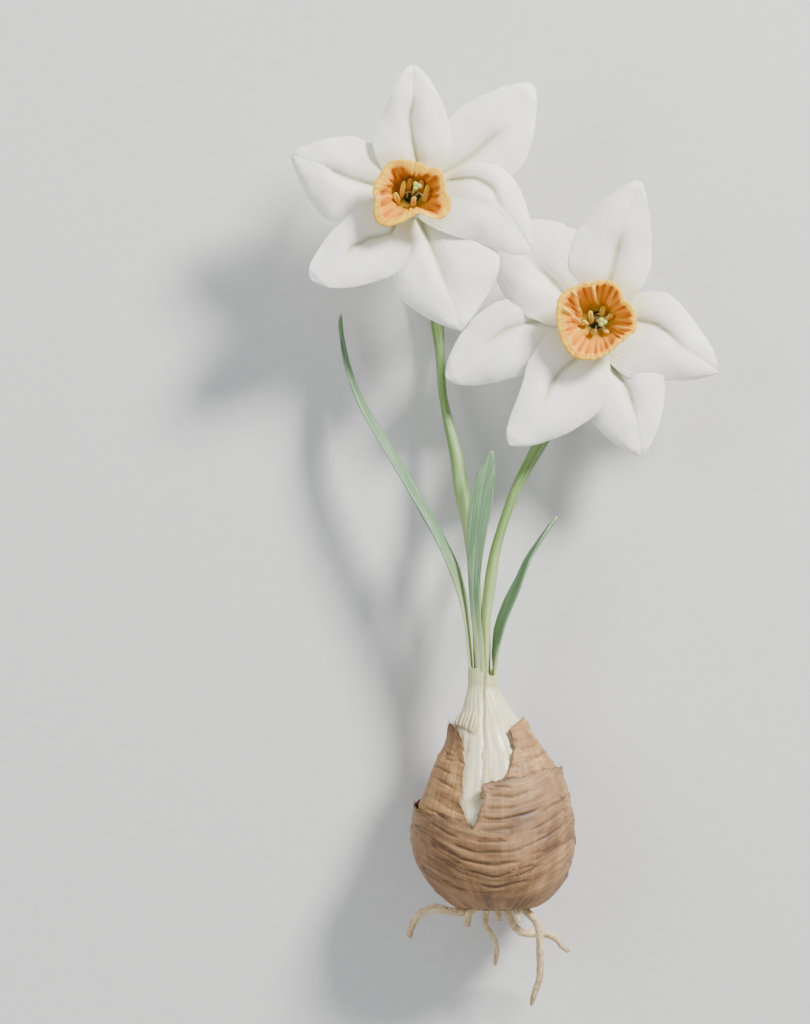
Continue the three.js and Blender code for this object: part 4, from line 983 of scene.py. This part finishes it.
def pistil(side, seed):
    """A style, and a stigma of three grainy lobes."""
    tip = np.array(STIGMA[side])
    level = tip * [1, 1, 0]
    style = tube([[0, 0, POCKET_FLOOR, 0.62], [0, 0, -2.0, STYLE_RADIUS],
                  [*(0.25 * level + 1.6 * UP), STYLE_RADIUS],
                  [*(0.7 * level + 0.62 * tip[2] * UP), 0.5], [*(tip - 0.4 * UP), 0.75]],
                 *STYLE_GRID, ACROSS)
    steps, sides = LOBE_GRID
    rows = through(LOBE_PROFILE)(np.linspace(0, 1, steps))
    lobes = []
    for k in range(3):
        angle = k / 3 * 2 * math.pi
        lobe = turned(rows, sides, lambda z, turn: 0.07 * rough(
            on_round(2, turn, 2 * z + k), 0.35, 2, seed), tone=1.0)
        lobes += moved([lobe], tip + LOBE_CIRCLE * np.array([math.cos(angle), math.sin(angle), 0]))
    return [style] + lobes


# Leaves, scapes and spathes


def leaf(rows, seed):
    """A strap leaf with a shallow channel, a keel behind it, ribs and a dry tip."""
    steps, columns = LEAF_GRID
    shares = 1 - (1 - np.linspace(0, 1, steps)) ** 1.15
    values, side, up, length = stations(through(rows), shares, ACROSS)
    half = np.maximum(values[:, 3:4], 0.12)
    roll = np.radians(values[:, 4:5]) + 0.05 * rough(spread(length, 0, seed)[:, None], (14, 1, 1), 2, seed)
    v = np.linspace(-1, 1, columns)[None, :]
    turn_cos, turn_sin = np.cos(roll)[..., None], np.sin(roll)[..., None]
    across = side[:, None] * turn_cos + up[:, None] * turn_sin
    out = up[:, None] * turn_cos - side[:, None] * turn_sin
    place = spread(length[:, None], v * half, seed)
    broad = np.minimum(half / 2.5, 1)
    ribs = 0.07 * np.cos(2 * np.pi * 4.5 * v) * broad * (1 - v ** 6)
    ribs = ribs + 0.05 * rough(place, (8, 0.7, 1), 2, seed)
    edge = 0.12 * rough(place + 20, (5, 30, 1), 2, seed + 2) * broad
    channel = LEAF_CHANNEL * half * (v ** 2 - 0.5)
    thick = LEAF_THICKNESS * np.minimum(1, 0.25 + half / 1.6) * np.sqrt(np.clip(1.02 - v ** 2, 0, 1)) ** 0.7
    keel = 0.18 * bell(v, 0.16)
    centre = values[:, None, :3] + across * (v * (half + edge))[..., None]
    front = centre + out * (channel + 0.5 * thick + ribs - 0.6 * keel)[..., None]
    back = centre + out * (channel - 0.5 * thick - ribs - keel)[..., None]
    reach = np.repeat(shares[:, None], columns, 1)
    dry = smoothstep(reach, 0.955, 1.0) + 0.35 * smoothstep(
        rough(place, (16, 3, 1), 3, seed + 7), 0.75, 1.1)
    return blade(front, back, spread(v * half + 40 * seed, 0, length[:, None]), np.clip(dry, 0, 1), reach)


def scape(side, seed):
    """A ribbed two-edged stem with its bent pedicel and its three-lobed ovary."""

    def relief(share, angle, length):
        ovary = smoothstep(share, OVARY_SHARE - 0.06, OVARY_SHARE + 0.04)
        ridges = 0.045 * np.cos(14 * angle) + 0.03 * np.cos(23 * angle + 1)
        edges = 0.10 * (np.abs(np.cos(angle)) ** 10)
        bumps = 0.05 * rough(on_round(2, angle, length), (1.5, 1.5, 7), 3, seed)
        return (1 - ovary) * (ridges + edges + bumps) + ovary * (0.16 * np.cos(3 * angle) + bumps)

    return grounded(tube(SCAPES[side], *SCAPE_GRID, ACROSS, relief))


def spathe(side, seed):
    """A dry bract that wraps the scape at its foot and narrows to a ragged tip."""
    start, end = SPATHE_SPAN[side]
    rows, columns = SPATHE_GRID
    a = np.linspace(0, 1, rows)[:, None]
    values, aside, up, length = stations(through(SCAPES[side]), start + (end - start) * a[:, 0], ACROSS)
    wide, deep, length = values[:, 3:4], values[:, 4:5], length[:, None]
    t = np.linspace(-0.5, 0.5, columns)[None, :]
    ragged = 1 + 0.10 * rough(spread(0, 30 * np.sign(t) + 0 * a, length), (1, 9, 2.2), 3, seed)
    opening = np.radians(SPATHE["spread"] + (SPATHE["tip"] - SPATHE["spread"]) * a ** 2) * ragged
    angle = np.pi / 2 + opening * t
    rise = SPATHE["clearance"] + SPATHE["swell"] * np.sin(np.pi * a) ** 2
    bumps = rough(on_round(10, angle, length), (2.0, 2.0, 9), 3, seed)
    rise = rise + 0.22 * bumps * smoothstep(a, 0.03, 0.2) + 0.05 * np.cos(34 * angle) + 0.06
    skins = []
    for off in (rise + SPATHE["wall"], rise):
        x, y = (wide + off) * np.cos(angle), (deep + off) * np.sin(angle)
        skin = values[:, None, :3] + x[..., None] * aside[:, None] + y[..., None] * up[:, None]
        skin[..., 2] = np.maximum(skin[..., 2], 0.05)
        skins.append(skin)
    return blade(*skins, on_round(3, angle, length), 0 * angle, np.repeat(a, columns, 1))


# The bulb


def bulb_point(share, angle, offset, rows=BULB_PROFILE):
    """A point over the bulb's profile, this far out from it."""
    profile = through(rows)
    y, half, x = np.moveaxis(profile(share), -1, 0)
    low, high = profile(share - NUDGE), profile(share + NUDGE)
    run = unit(np.stack([high[..., 1] - low[..., 1], low[..., 0] - high[..., 0]], -1))
    out = run[..., 1] * offset
    return spread(x + (half + out) * np.cos(angle), y + run[..., 0] * offset,
                  BULB_AXIS_Z + (BULB_DEPTH_RATIO * half + out) * np.sin(angle))


def fibre_grain(points, angle, girth):
    """Grain for what wraps the bulb. Its first two columns stay the same along a fibre, from the
    base to the neck, and its last one stays the same along a bent wrinkle."""
    x, y, z = np.moveaxis(points, -1, 0)
    bend = WRINKLE_BEND * smoothstep(z, BULB_AXIS_Z - 20, BULB_AXIS_Z + 8)
    return on_round(girth, angle, y - bend * (x - WRINKLE_MIDDLE) ** 2)


def socket(rim_y, angle, depth):
    """The socket's rings, from its floor up to the ragged rim. It narrows to the rim, where the
    sheath hugs the leaves."""
    narrow = SOCKET["rim_share"] + (1 - SOCKET["rim_share"]) * smoothstep(depth, 0.0, 0.4)
    return spread(SOCKET["x"] + SOCKET["rim_shift"] * (1 - depth)
                  + SOCKET["half_width"] * narrow * np.cos(angle),
                  rim_y + (SOCKET["floor"] - rim_y) * depth,
                  SOCKET["z"] + SOCKET["half_depth"] * narrow * np.sin(angle))


def bulb_scales():
    """The flesh of the bulb and its neck, with a furrow, a torn skirt and a socket in one solid."""
    rows = NECK_SHEATH + BULB_PROFILE
    sheath = len(NECK_SHEATH) / (len(rows) - 1)
    above, below, inside_rows, columns = FLESH_GRID
    share = np.concatenate([np.linspace(0, FLESH_COVERED, above),
                            np.linspace(FLESH_COVERED, 1, below)[1:]])[:, None]
    angle = circle(columns)
    base = bulb_point(share, angle, 0.0, rows)
    x, y, z = np.moveaxis(base, -1, 0)
    front = smoothstep(z, BULB_AXIS_Z - 2, BULB_AXIS_Z + 3)
    furrow = np.asarray(FURROW)[::-1]
    line = np.interp(y, furrow[:, 0], furrow[:, 1]) + 0.3 * rough(spread(y, 0, 0), (3, 1, 1), 2, 5)
    near = bell(x - line, 0.4) * front * smoothstep(y, -86, -78)
    step = SCALE_STEP * (1 - smoothstep(x - line, -0.3, 0.4)) * front * between(y, -88, -76, -52, -47)
    # The skirt stands out over the scale below it and is pleated across.
    skirt = np.asarray(SKIRT)
    hem = np.interp(x, skirt[:, 0], skirt[:, 1]) + 0.6 * rough(spread(x, 0, 0), (1.0, 1, 1), 2, 8)
    outside = (1 - smoothstep(x, -9.6, -8.8)) * front
    over = smoothstep(y - hem, -0.12, 0.25) * (1 - smoothstep(y, SKIRT_TOP - 1.5, SKIRT_TOP + 1.5))
    over = over * outside
    # A line of painted shadow under the hem.
    hem_shadow = bell(y - hem + 0.25, 0.3) * outside
    folds = (x - SKIRT_PLEAT["lean"] * (y + 58)) / SKIRT_PLEAT["length"]
    folds = np.cos(2 * np.pi * folds + 1.5 * noise(base / 2.5, 4))
    ribs = NECK_RIB * np.cos(NECK_RIBS * angle + 2.4 * noise(spread(y / 9, 0, 0) + 0 * base, 3))
    ribs = ribs * (1 - 0.6 * smoothstep(share, 0.35, 0.7)) * (0.35 + 0.65 * smoothstep(-y, 46, 53))
    soft = 0.16 * rough(base, (4, 16, 4), 3, 12)
    raised = over * (SKIRT_RISE + SKIRT_PLEAT["height"] * folds)
    outer = bulb_point(share, angle, -0.5 + step + raised - 0.7 * near + ribs + soft, rows)
    ragged = 1.5 * rough(on_round(4, angle, 0), (2.8, 2.8, 1), 3, 21)
    split = 1.7 * bell(x - line, 1.3) * front
    outer[..., 1] += (1 - smoothstep(share, 0.0, 1.2 * sheath)) * (ragged - split - 0.3)
    depth = np.linspace(0, 1, inside_rows)[::-1, None]
    rings = np.concatenate([socket(outer[:1, :, 1], angle, depth), outer])
    # The tone: painted shade along the furrow and between the pleats, painted shadow under the hem, the
    # skirt's own tan, and painted shade deeper down the socket.
    marks = 0.9 * near + 0.6 * hem_shadow + over * (0.22 + 0.5 * smoothstep(-folds, 0.2, 0.9))
    tone = np.concatenate([0.5 * depth + 0 * angle, np.clip(marks, 0, 1)])
    reach = np.concatenate([0 * depth + 0 * angle, share + 0 * angle])
    grain = fibre_grain(rings, angle, 10.0)
    grain[..., 2] = rings[..., 1]
    return [capped(rings, grain, tone, reach)]


# The tunics


def inside(rim, x, y):
    """How far points are below a torn rim, and with a minus sign above it."""
    rim = np.asarray(rim, float)
    closed = np.vstack([rim, [rim[-1, 0], BELOW_ALL], [rim[0, 0], BELOW_ALL]])
    within = np.zeros(x.shape, bool)
    for (x0, y0), (x1, y1) in zip(closed, np.roll(closed, -1, axis=0)):
        if y0 != y1:
            crosses = (y0 > y) != (y1 > y)
            within ^= crosses & (x < (x1 - x0) * (y - y0) / (y1 - y0) + x0)
    nearest = from_line(x, y, rim)
    return np.where(within, nearest, -nearest)


def used_only(place, faces):
    """The points that faces use, and the faces with those points' new numbers."""
    used = np.unique([i for face in faces for i in face])
    renamed = np.full(len(place), -1)
    renamed[used] = np.arange(len(used))
    return place[used], [[int(renamed[i]) for i in face] for face in faces]


def cut(field):
    """The cells of a wrapped grid where a field is positive, cut along its zero line. Gives each
    point's row and column, as fractions, and the faces."""
    rows, columns = field.shape
    index = numbered(rows, columns)
    cells = quads(index[:-1, :-1], index[1:, :-1], index[1:, 1:], index[:-1, 1:])
    value = field.ravel()
    positive = (value[cells] > 0).sum(1)
    faces = cells[positive == 4].tolist()
    place = [(i // columns, i % columns) for i in range(rows * columns)]
    made = {}
    for cell in np.nonzero((positive > 0) & (positive < 4))[0].tolist():
        row, column = divmod(cell, columns)
        spots = [(row, column), (row + 1, column), (row + 1, column + 1), (row, column + 1)]
        corners = cells[cell].tolist()
        face = []
        for k in range(4):
            a, b = corners[k], corners[(k + 1) % 4]
            if value[a] > 0:
                face.append(a)
            if (value[a] > 0) != (value[b] > 0):
                key = (min(a, b), max(a, b))
                if key not in made:
                    t = min(max(value[a] / (value[a] - value[b]), 0.02), 0.98)
                    (r0, c0), (r1, c1) = spots[k], spots[(k + 1) % 4]
                    made[key] = len(place)
                    place.append((r0 + t * (r1 - r0), c0 + t * (c1 - c0)))
                face.append(made[key])
        faces.append(face)
    return used_only(np.array(place, float), faces)


def largest_part(place, faces):
    """The largest connected part of what was cut."""
    parent = list(range(len(place)))

    def root(i):
        while parent[i] != i:
            parent[i] = parent[parent[i]]
            i = parent[i]
        return i

    for face in faces:
        for i in face[1:]:
            parent[root(i)] = root(face[0])
    parts = np.array([root(i) for i in range(len(place))])
    names, sizes = np.unique(parts, return_counts=True)
    main = names[np.argmax(sizes)]
    return used_only(place, [face for face in faces if parts[face[0]] == main])


def sampled(grid, place):
    """A wrapped grid's values at fractional rows and columns."""
    rows, columns = grid.shape
    r0 = np.minimum(place[:, 0].astype(int), rows - 2)
    c0 = np.floor(place[:, 1]).astype(int)
    fr, fc = place[:, 0] - r0, place[:, 1] - c0
    c0, c1 = c0 % columns, (c0 + 1) % columns
    top = grid[r0, c0] * (1 - fc) + grid[r0, c1] * fc
    return top * (1 - fr) + (grid[r0 + 1, c0] * (1 - fc) + grid[r0 + 1, c1] * fc) * fr


def turn_of(column):
    """The angle of a tunic's column. The columns lie closer on the front, at a quarter turn."""
    t = column / TUNIC_GRID[1]
    return 2 * np.pi * t - np.pi / 2 + 0.32 * np.sin(2 * np.pi * t)


def patch(points, x, y, wide, long):
    """A soft patch round one place, 1 in its middle."""
    return np.exp(-(((points[:, 0] - x) / wide) ** 2 + ((points[:, 1] - y) / long) ** 2))


def tunic_relief(here, grain, share, seed):
    """How far a tunic stands out at these points, its painted shade, and its fibres."""
    # Wrinkles are narrow creases where smooth noise changes sign, and fibres fine ridges.
    waves = rough(grain, (15, 15, 2.2), 2, seed + 20)
    above_end = 1 - smoothstep(share, GATHERED_FROM, 0.9)
    at_end = 1 - above_end
    crease = bell(waves, 0.09) * smoothstep(noise(grain / [9, 9, 4], seed + 24), -0.3, 0.3) * above_end
    swells = rough(grain, (20, 20, 2.0), 2, seed + 28)
    wobble = 0.5 * rough(grain, (5, 5, 9), 2, seed + 34)
    in_front = smoothstep(here[:, 2], BULB_AXIS_Z - 1, BULB_AXIS_Z + 4)
    for line, start, end in DEEP_WRINKLES:
        ends = between(here[:, 0], start, start + 3, end - 3, end)
        run = bell(grain[:, 2] - line - wobble, WRINKLE_WIDTH + 0.14 * ends)
        crease = np.maximum(crease, 1.25 * run * ends * in_front)
    fibres = rough(grain, (0.75, 0.75, 40), 2, seed + 30) * (1 + 1.2 * at_end)
    dents = rough(here, (9, 13, 9), 2, seed + 40)
    gathers = noise(spread(*(grain[:, :2] / 3.0).T, 0.03 * here[:, 1]), seed + 60)
    gathers = gathers + 0.6 * noise(spread(*(grain[:, :2] / 1.3).T, 0.05 * here[:, 1]), seed + 61)
    settle = between(share, 0.0, 0.1, 0.93, 0.98)
    height = TUNIC_RELIEF
    relief = (height["swells"] * swells * above_end - height["creases"] * crease
              + height["fibres"] * fibres + height["dents"] * dents) * settle
    relief = relief + height["gathers"] * gathers * smoothstep(share, GATHERED_FROM - 0.02, 0.92)
    # Painted shade in the creases and in the hollows of the gathers, and a darker band at the hem by the
    # plate.
    marks = np.maximum(0.62 * smoothstep(crease, 0.25, 1.1) * settle, 0.6 * smoothstep(share, 0.93, 1.0))
    return relief, np.maximum(marks, 0.55 * at_end * np.clip(-1.2 * gathers, 0, 1)), fibres


def tunic(spec, seed):
    """A torn papery skin round the bulb."""
    low, wall, fray = spec["out"], spec["wall"], spec["fray"]
    profile = BULB_PROFILE + spec["hem"]
    rows, columns = TUNIC_GRID
    share_of = np.linspace(spec["first_row"] / (len(profile) + 1), 1, rows)
    base = bulb_point(share_of[:, None], turn_of(np.arange(columns))[None, :], low + wall, profile)
    x, y, z = np.moveaxis(base, -1, 0)
    ahead = smoothstep(z, BULB_AXIS_Z - 3, BULB_AXIS_Z + 3)
    field = ahead * inside(spec["front"], x, y) + (1 - ahead) * inside(spec["back"], x, y)
    field = field + fray * rough(base, (1.5, 1.7, 1.5), 3, seed)
    slits = noise(base / [0.55, 4.0, 0.55], seed + 5)
    field = field - 1.5 * fray * np.clip(slits - 0.15, 0, 1) - 0.1
    place, faces = largest_part(*cut(field))

    share = np.interp(place[:, 0], np.arange(rows), share_of)
    angle = turn_of(place[:, 1])
    depth = np.maximum(sampled(field, place), 0)
    here = bulb_point(share, angle, low + wall, profile)
    grain = fibre_grain(here, angle, 20.0)
    relief, marks, fibres = tunic_relief(here, grain, share, seed)
    curl = (1 - smoothstep(depth, 0, 2.6)) * (0.35 + 0.75 * noise(here / 3.5, seed + 50))
    thin = wall * (0.35 + 0.65 * smoothstep(depth, 0, 1.2))
    top = low + wall + relief - 0.12 + np.clip(curl, -0.1, 1)
    tone = np.clip(0.8 * (1 - smoothstep(depth, 0, 0.9)) * (0.7 + 0.5 * noise(here, seed)), 0, 1)
    tone = np.maximum(tone, marks)
    # The flap curls out, and painted shade darkens it.
    if spec["flap"]:
        flap = FLAP_HEIGHT * patch(here, *FLAP_CURL)
        top = top + flap * smoothstep(here[:, 2], BULB_AXIS_Z, BULB_AXIS_Z + 6)
        tone = np.clip(tone + 0.9 * patch(here, *FLAP_SHADE) * (0.75 + 0.6 * fibres), 0, 1)
    outer = bulb_point(share, angle, top, profile)
    inner = bulb_point(share, angle, np.maximum(top - thin, low + 0.02), profile)
    for skin in (outer, inner):
        skin[:, 2] = np.maximum(skin[:, 2], 0)
    inner[:, 2] = np.where(outer[:, 2] <= 0, np.maximum(inner[:, 2], 0.25), inner[:, 2])

    count = len(place)
    edges = dict.fromkeys(pair for face in faces for pair in zip(face, face[1:] + face[:1]))
    rim = [(a, b) for a, b in edges if (b, a) not in edges]
    walls = [[b, a, a + count, b + count] for a, b in rim]
    back = [[i + count for i in face[::-1]] for face in faces]
    skin = shape(np.vstack([outer, inner]), faces + back + walls, np.vstack([grain, grain]),
                 np.concatenate([tone, tone]), np.concatenate([share, share]))
    torn = np.array(sorted({a for a, b in rim if share[a] < 0.97}))
    return [skin] + frayed(outer[torn], seed)


def frayed(rim, seed):
    """Loose fibres that stand out of a torn edge."""
    draw = np.random.default_rng(seed)
    fibres = []
    for point in rim[draw.choice(len(rim), LOOSE_FIBRES, replace=False)]:
        # They are dense and long at the top of the left flap, and sparse and short elsewhere.
        tuft = point[0] < TUFT["right"] and point[1] > TUFT["foot"]
        if not tuft and draw.random() < 0.6:
            continue
        middle = np.array([WRINKLE_MIDDLE, point[1] - 6, BULB_AXIS_Z])
        away = unit(point - middle)
        along = unit(np.array([0.3 * draw.normal(), 1.0, 0.15 * draw.normal()]) + 0.1 * away)
        length = draw.uniform(0.6, 1.6) if tuft else draw.uniform(0.4, 1.2)
        bend = 0.3 * length * draw.normal(size=3)
        thick = draw.uniform(0.05, 0.10)
        start = point - 0.8 * along - 0.12 * away
        rows = [[*start, thick * 1.3], [*(point + 0.3 * length * along), thick],
                [*(point + 0.7 * length * along + 0.4 * bend), thick * 0.7],
                [*(point + length * along + bend), thick * 0.3]]
        fibres.append(grounded(tube(rows, *FIBRE_GRID, ACROSS, tone=0.45)))
    return fibres


# The basal plate and the roots


def plate():
    """The lumpy basal plate."""
    rows, columns = PLATE_GRID
    angle = circle(columns)
    share = np.linspace(0, 1, rows)[:, None]
    rim = smoothstep(share, 0.0, 0.55)
    radius = PLATE["top_radius"] + (PLATE["foot_radius"] - PLATE["top_radius"]) * rim
    radius = radius * np.sqrt(np.clip(1 - np.clip((share - 0.55) / 0.47, 0, 1) ** 2, 0.0, 1))
    y = PLATE["top"] + (PLATE["foot"] - PLATE["top"]) * np.minimum(share / 0.6, 1)
    where = spread(radius * np.cos(angle), y, radius * np.sin(angle))
    lumps = 0.32 * rough(where, 2.4, 3, 61)
    ridges = 0.16 * np.cos(46 * angle + 2 * noise(where / 5, 63)) * smoothstep(radius, 1, 8)
    wide = np.maximum(radius + (lumps + ridges) * smoothstep(radius, 0.5, 6), 0.05)
    rings = spread(PLATE["x"] + wide * np.cos(angle), y - 0.35 * (lumps + 0.2) * rim,
                   BULB_AXIS_Z + BULB_DEPTH_RATIO * wide * np.sin(angle))
    tone = np.clip(0.45 + 0.6 * rough(where, 3, 3, 65), 0.2, 0.9)
    return capped(rings, where, tone, 0.4)


def single_root(rows, k):
    """A root with rings of wrinkles round it, darker where it leaves the plate."""

    def relief(share, turn, length):
        where = on_round(1.4, turn, length + 30 * k)
        rings = 0.07 * rough(spread(0, 0, length + 30 * k) + 0 * where, (1, 1, 0.9), 2, 70 + k)
        tip = np.sqrt(np.clip(1 - smoothstep(share, 0.93, 1.0) ** 2, 0.02, 1)) - 1
        return 0.7 * tip + rings + 0.10 * rough(where, (1.2, 1.2, 2.6), 3, 80 + k)

    steps, sides = ROOT_GRID
    made = tube(rows, steps * (len(rows) - 1), sides, UP, relief)
    made["tone"] = 0.55 * (1 - smoothstep(made["reach"], 0.0, 0.10))
    return made


# The scene: camera, lights and floor


def lamp(name, place, size, power, colour):
    light = bpy.data.lights.new(name, "AREA")
    light.shape = "DISK"
    light.size = size
    light.energy = power
    light.color = colour
    made = linked(name, light)
    made.location = Vector(place)
    made.rotation_euler = (Vector(LAMP_TARGET) - Vector(place)).to_track_quat("-Z", "Y").to_euler()


camera_data = bpy.data.cameras.new("camera")
camera_data.sensor_fit = "VERTICAL"
camera_data.sensor_height = SENSOR_HEIGHT
camera_data.lens = SENSOR_HEIGHT * (CAMERA_HEIGHT - VIEW_PLANE) / VIEW_HEIGHT
camera_data.clip_end = 20.0
camera = linked("camera", camera_data)
camera.location = (VIEW_CENTRE[0] * MM, VIEW_CENTRE[1] * MM, CAMERA_HEIGHT * MM)
bpy.context.scene.camera = camera

for name, settings in LAMPS.items():
    lamp(name, *settings)
world = bpy.data.worlds.new("studio")
world.use_nodes = True
background = world.node_tree.nodes["Background"]
background.inputs["Color"].default_value = WORLD_COLOUR
background.inputs["Strength"].default_value = WORLD_STRENGTH
bpy.context.scene.world = world

floor_mesh = bpy.data.meshes.new("floor")
corners = [(x * FLOOR_HALF, y * FLOOR_HALF, 0) for x, y in ((-1, -1), (1, -1), (1, 1), (-1, 1))]
floor_mesh.from_pydata(corners, [], [(0, 1, 2, 3)])
floor_mesh.materials.append(floor_paint())
floor = linked("floor", floor_mesh)

# The pieces

piece("bulb_flesh", bulb_scales(), flesh_paint(), "bulb_scales")
for number, (name, spec) in enumerate(TUNICS.items(), 1):
    paper = tunic_paint(f"tunic_{name}_paper", *spec["colours"], spec["shine"], spec["fibrous"])
    piece(f"tunic_{name}_skin", tunic(spec, number), paper, f"tunic_{name}")
roots = [single_root(rows, k) for k, rows in enumerate(ROOTS)]
piece("plate_and_roots", [plate()] + roots, root_paint(), "basal_plate_and_roots")

leaf_green = leaf_paint("leaf_green", (0.17, 0.32, 0.15), (0.085, 0.20, 0.085), (0.52, 0.58, 0.28))
scape_green = leaf_paint("scape_green", (0.23, 0.38, 0.09), (0.12, 0.25, 0.05), (0.50, 0.58, 0.25))
tepal_white, corona_gold = tepal_paint(), corona_paint()
pollen, green_tip, paper = pollen_paint(), pistil_paint(), spathe_paint()
for number, (name, rows) in enumerate(LEAVES.items(), 1):
    piece(f"leaf_blade_{name}", [leaf(rows, number)], leaf_green, f"leaf_{name}")
for number, side in enumerate(("left", "right"), 1):
    centre = BLOOMS[side]
    piece(f"scape_stem_{side}", [scape(side, number)], scape_green, f"scape_{side}")
    piece(f"spathe_bract_{side}", [spathe(side, number)], paper, f"spathe_{side}")
    blades = [tepal(*spec, order, order + 10 * number) for order, spec in enumerate(TEPALS[side])]
    tube_length = centre[2] - SCAPES[side][-1][2] - TUBE_GAP
    piece(f"petals_{side}", moved(blades + [floral_tube(tube_length)], centre), tepal_white,
          f"tepals_{side}")
    piece(f"cup_{side}", moved([corona(side, number)], centre), corona_gold, f"corona_{side}")
    piece(f"anthers_{side}", moved(stamens(side, number), centre), pollen, f"stamens_{side}")
    piece(f"style_{side}", moved(pistil(side, number), centre), green_tip, f"pistil_{side}")

bpy.context.view_layer.update()
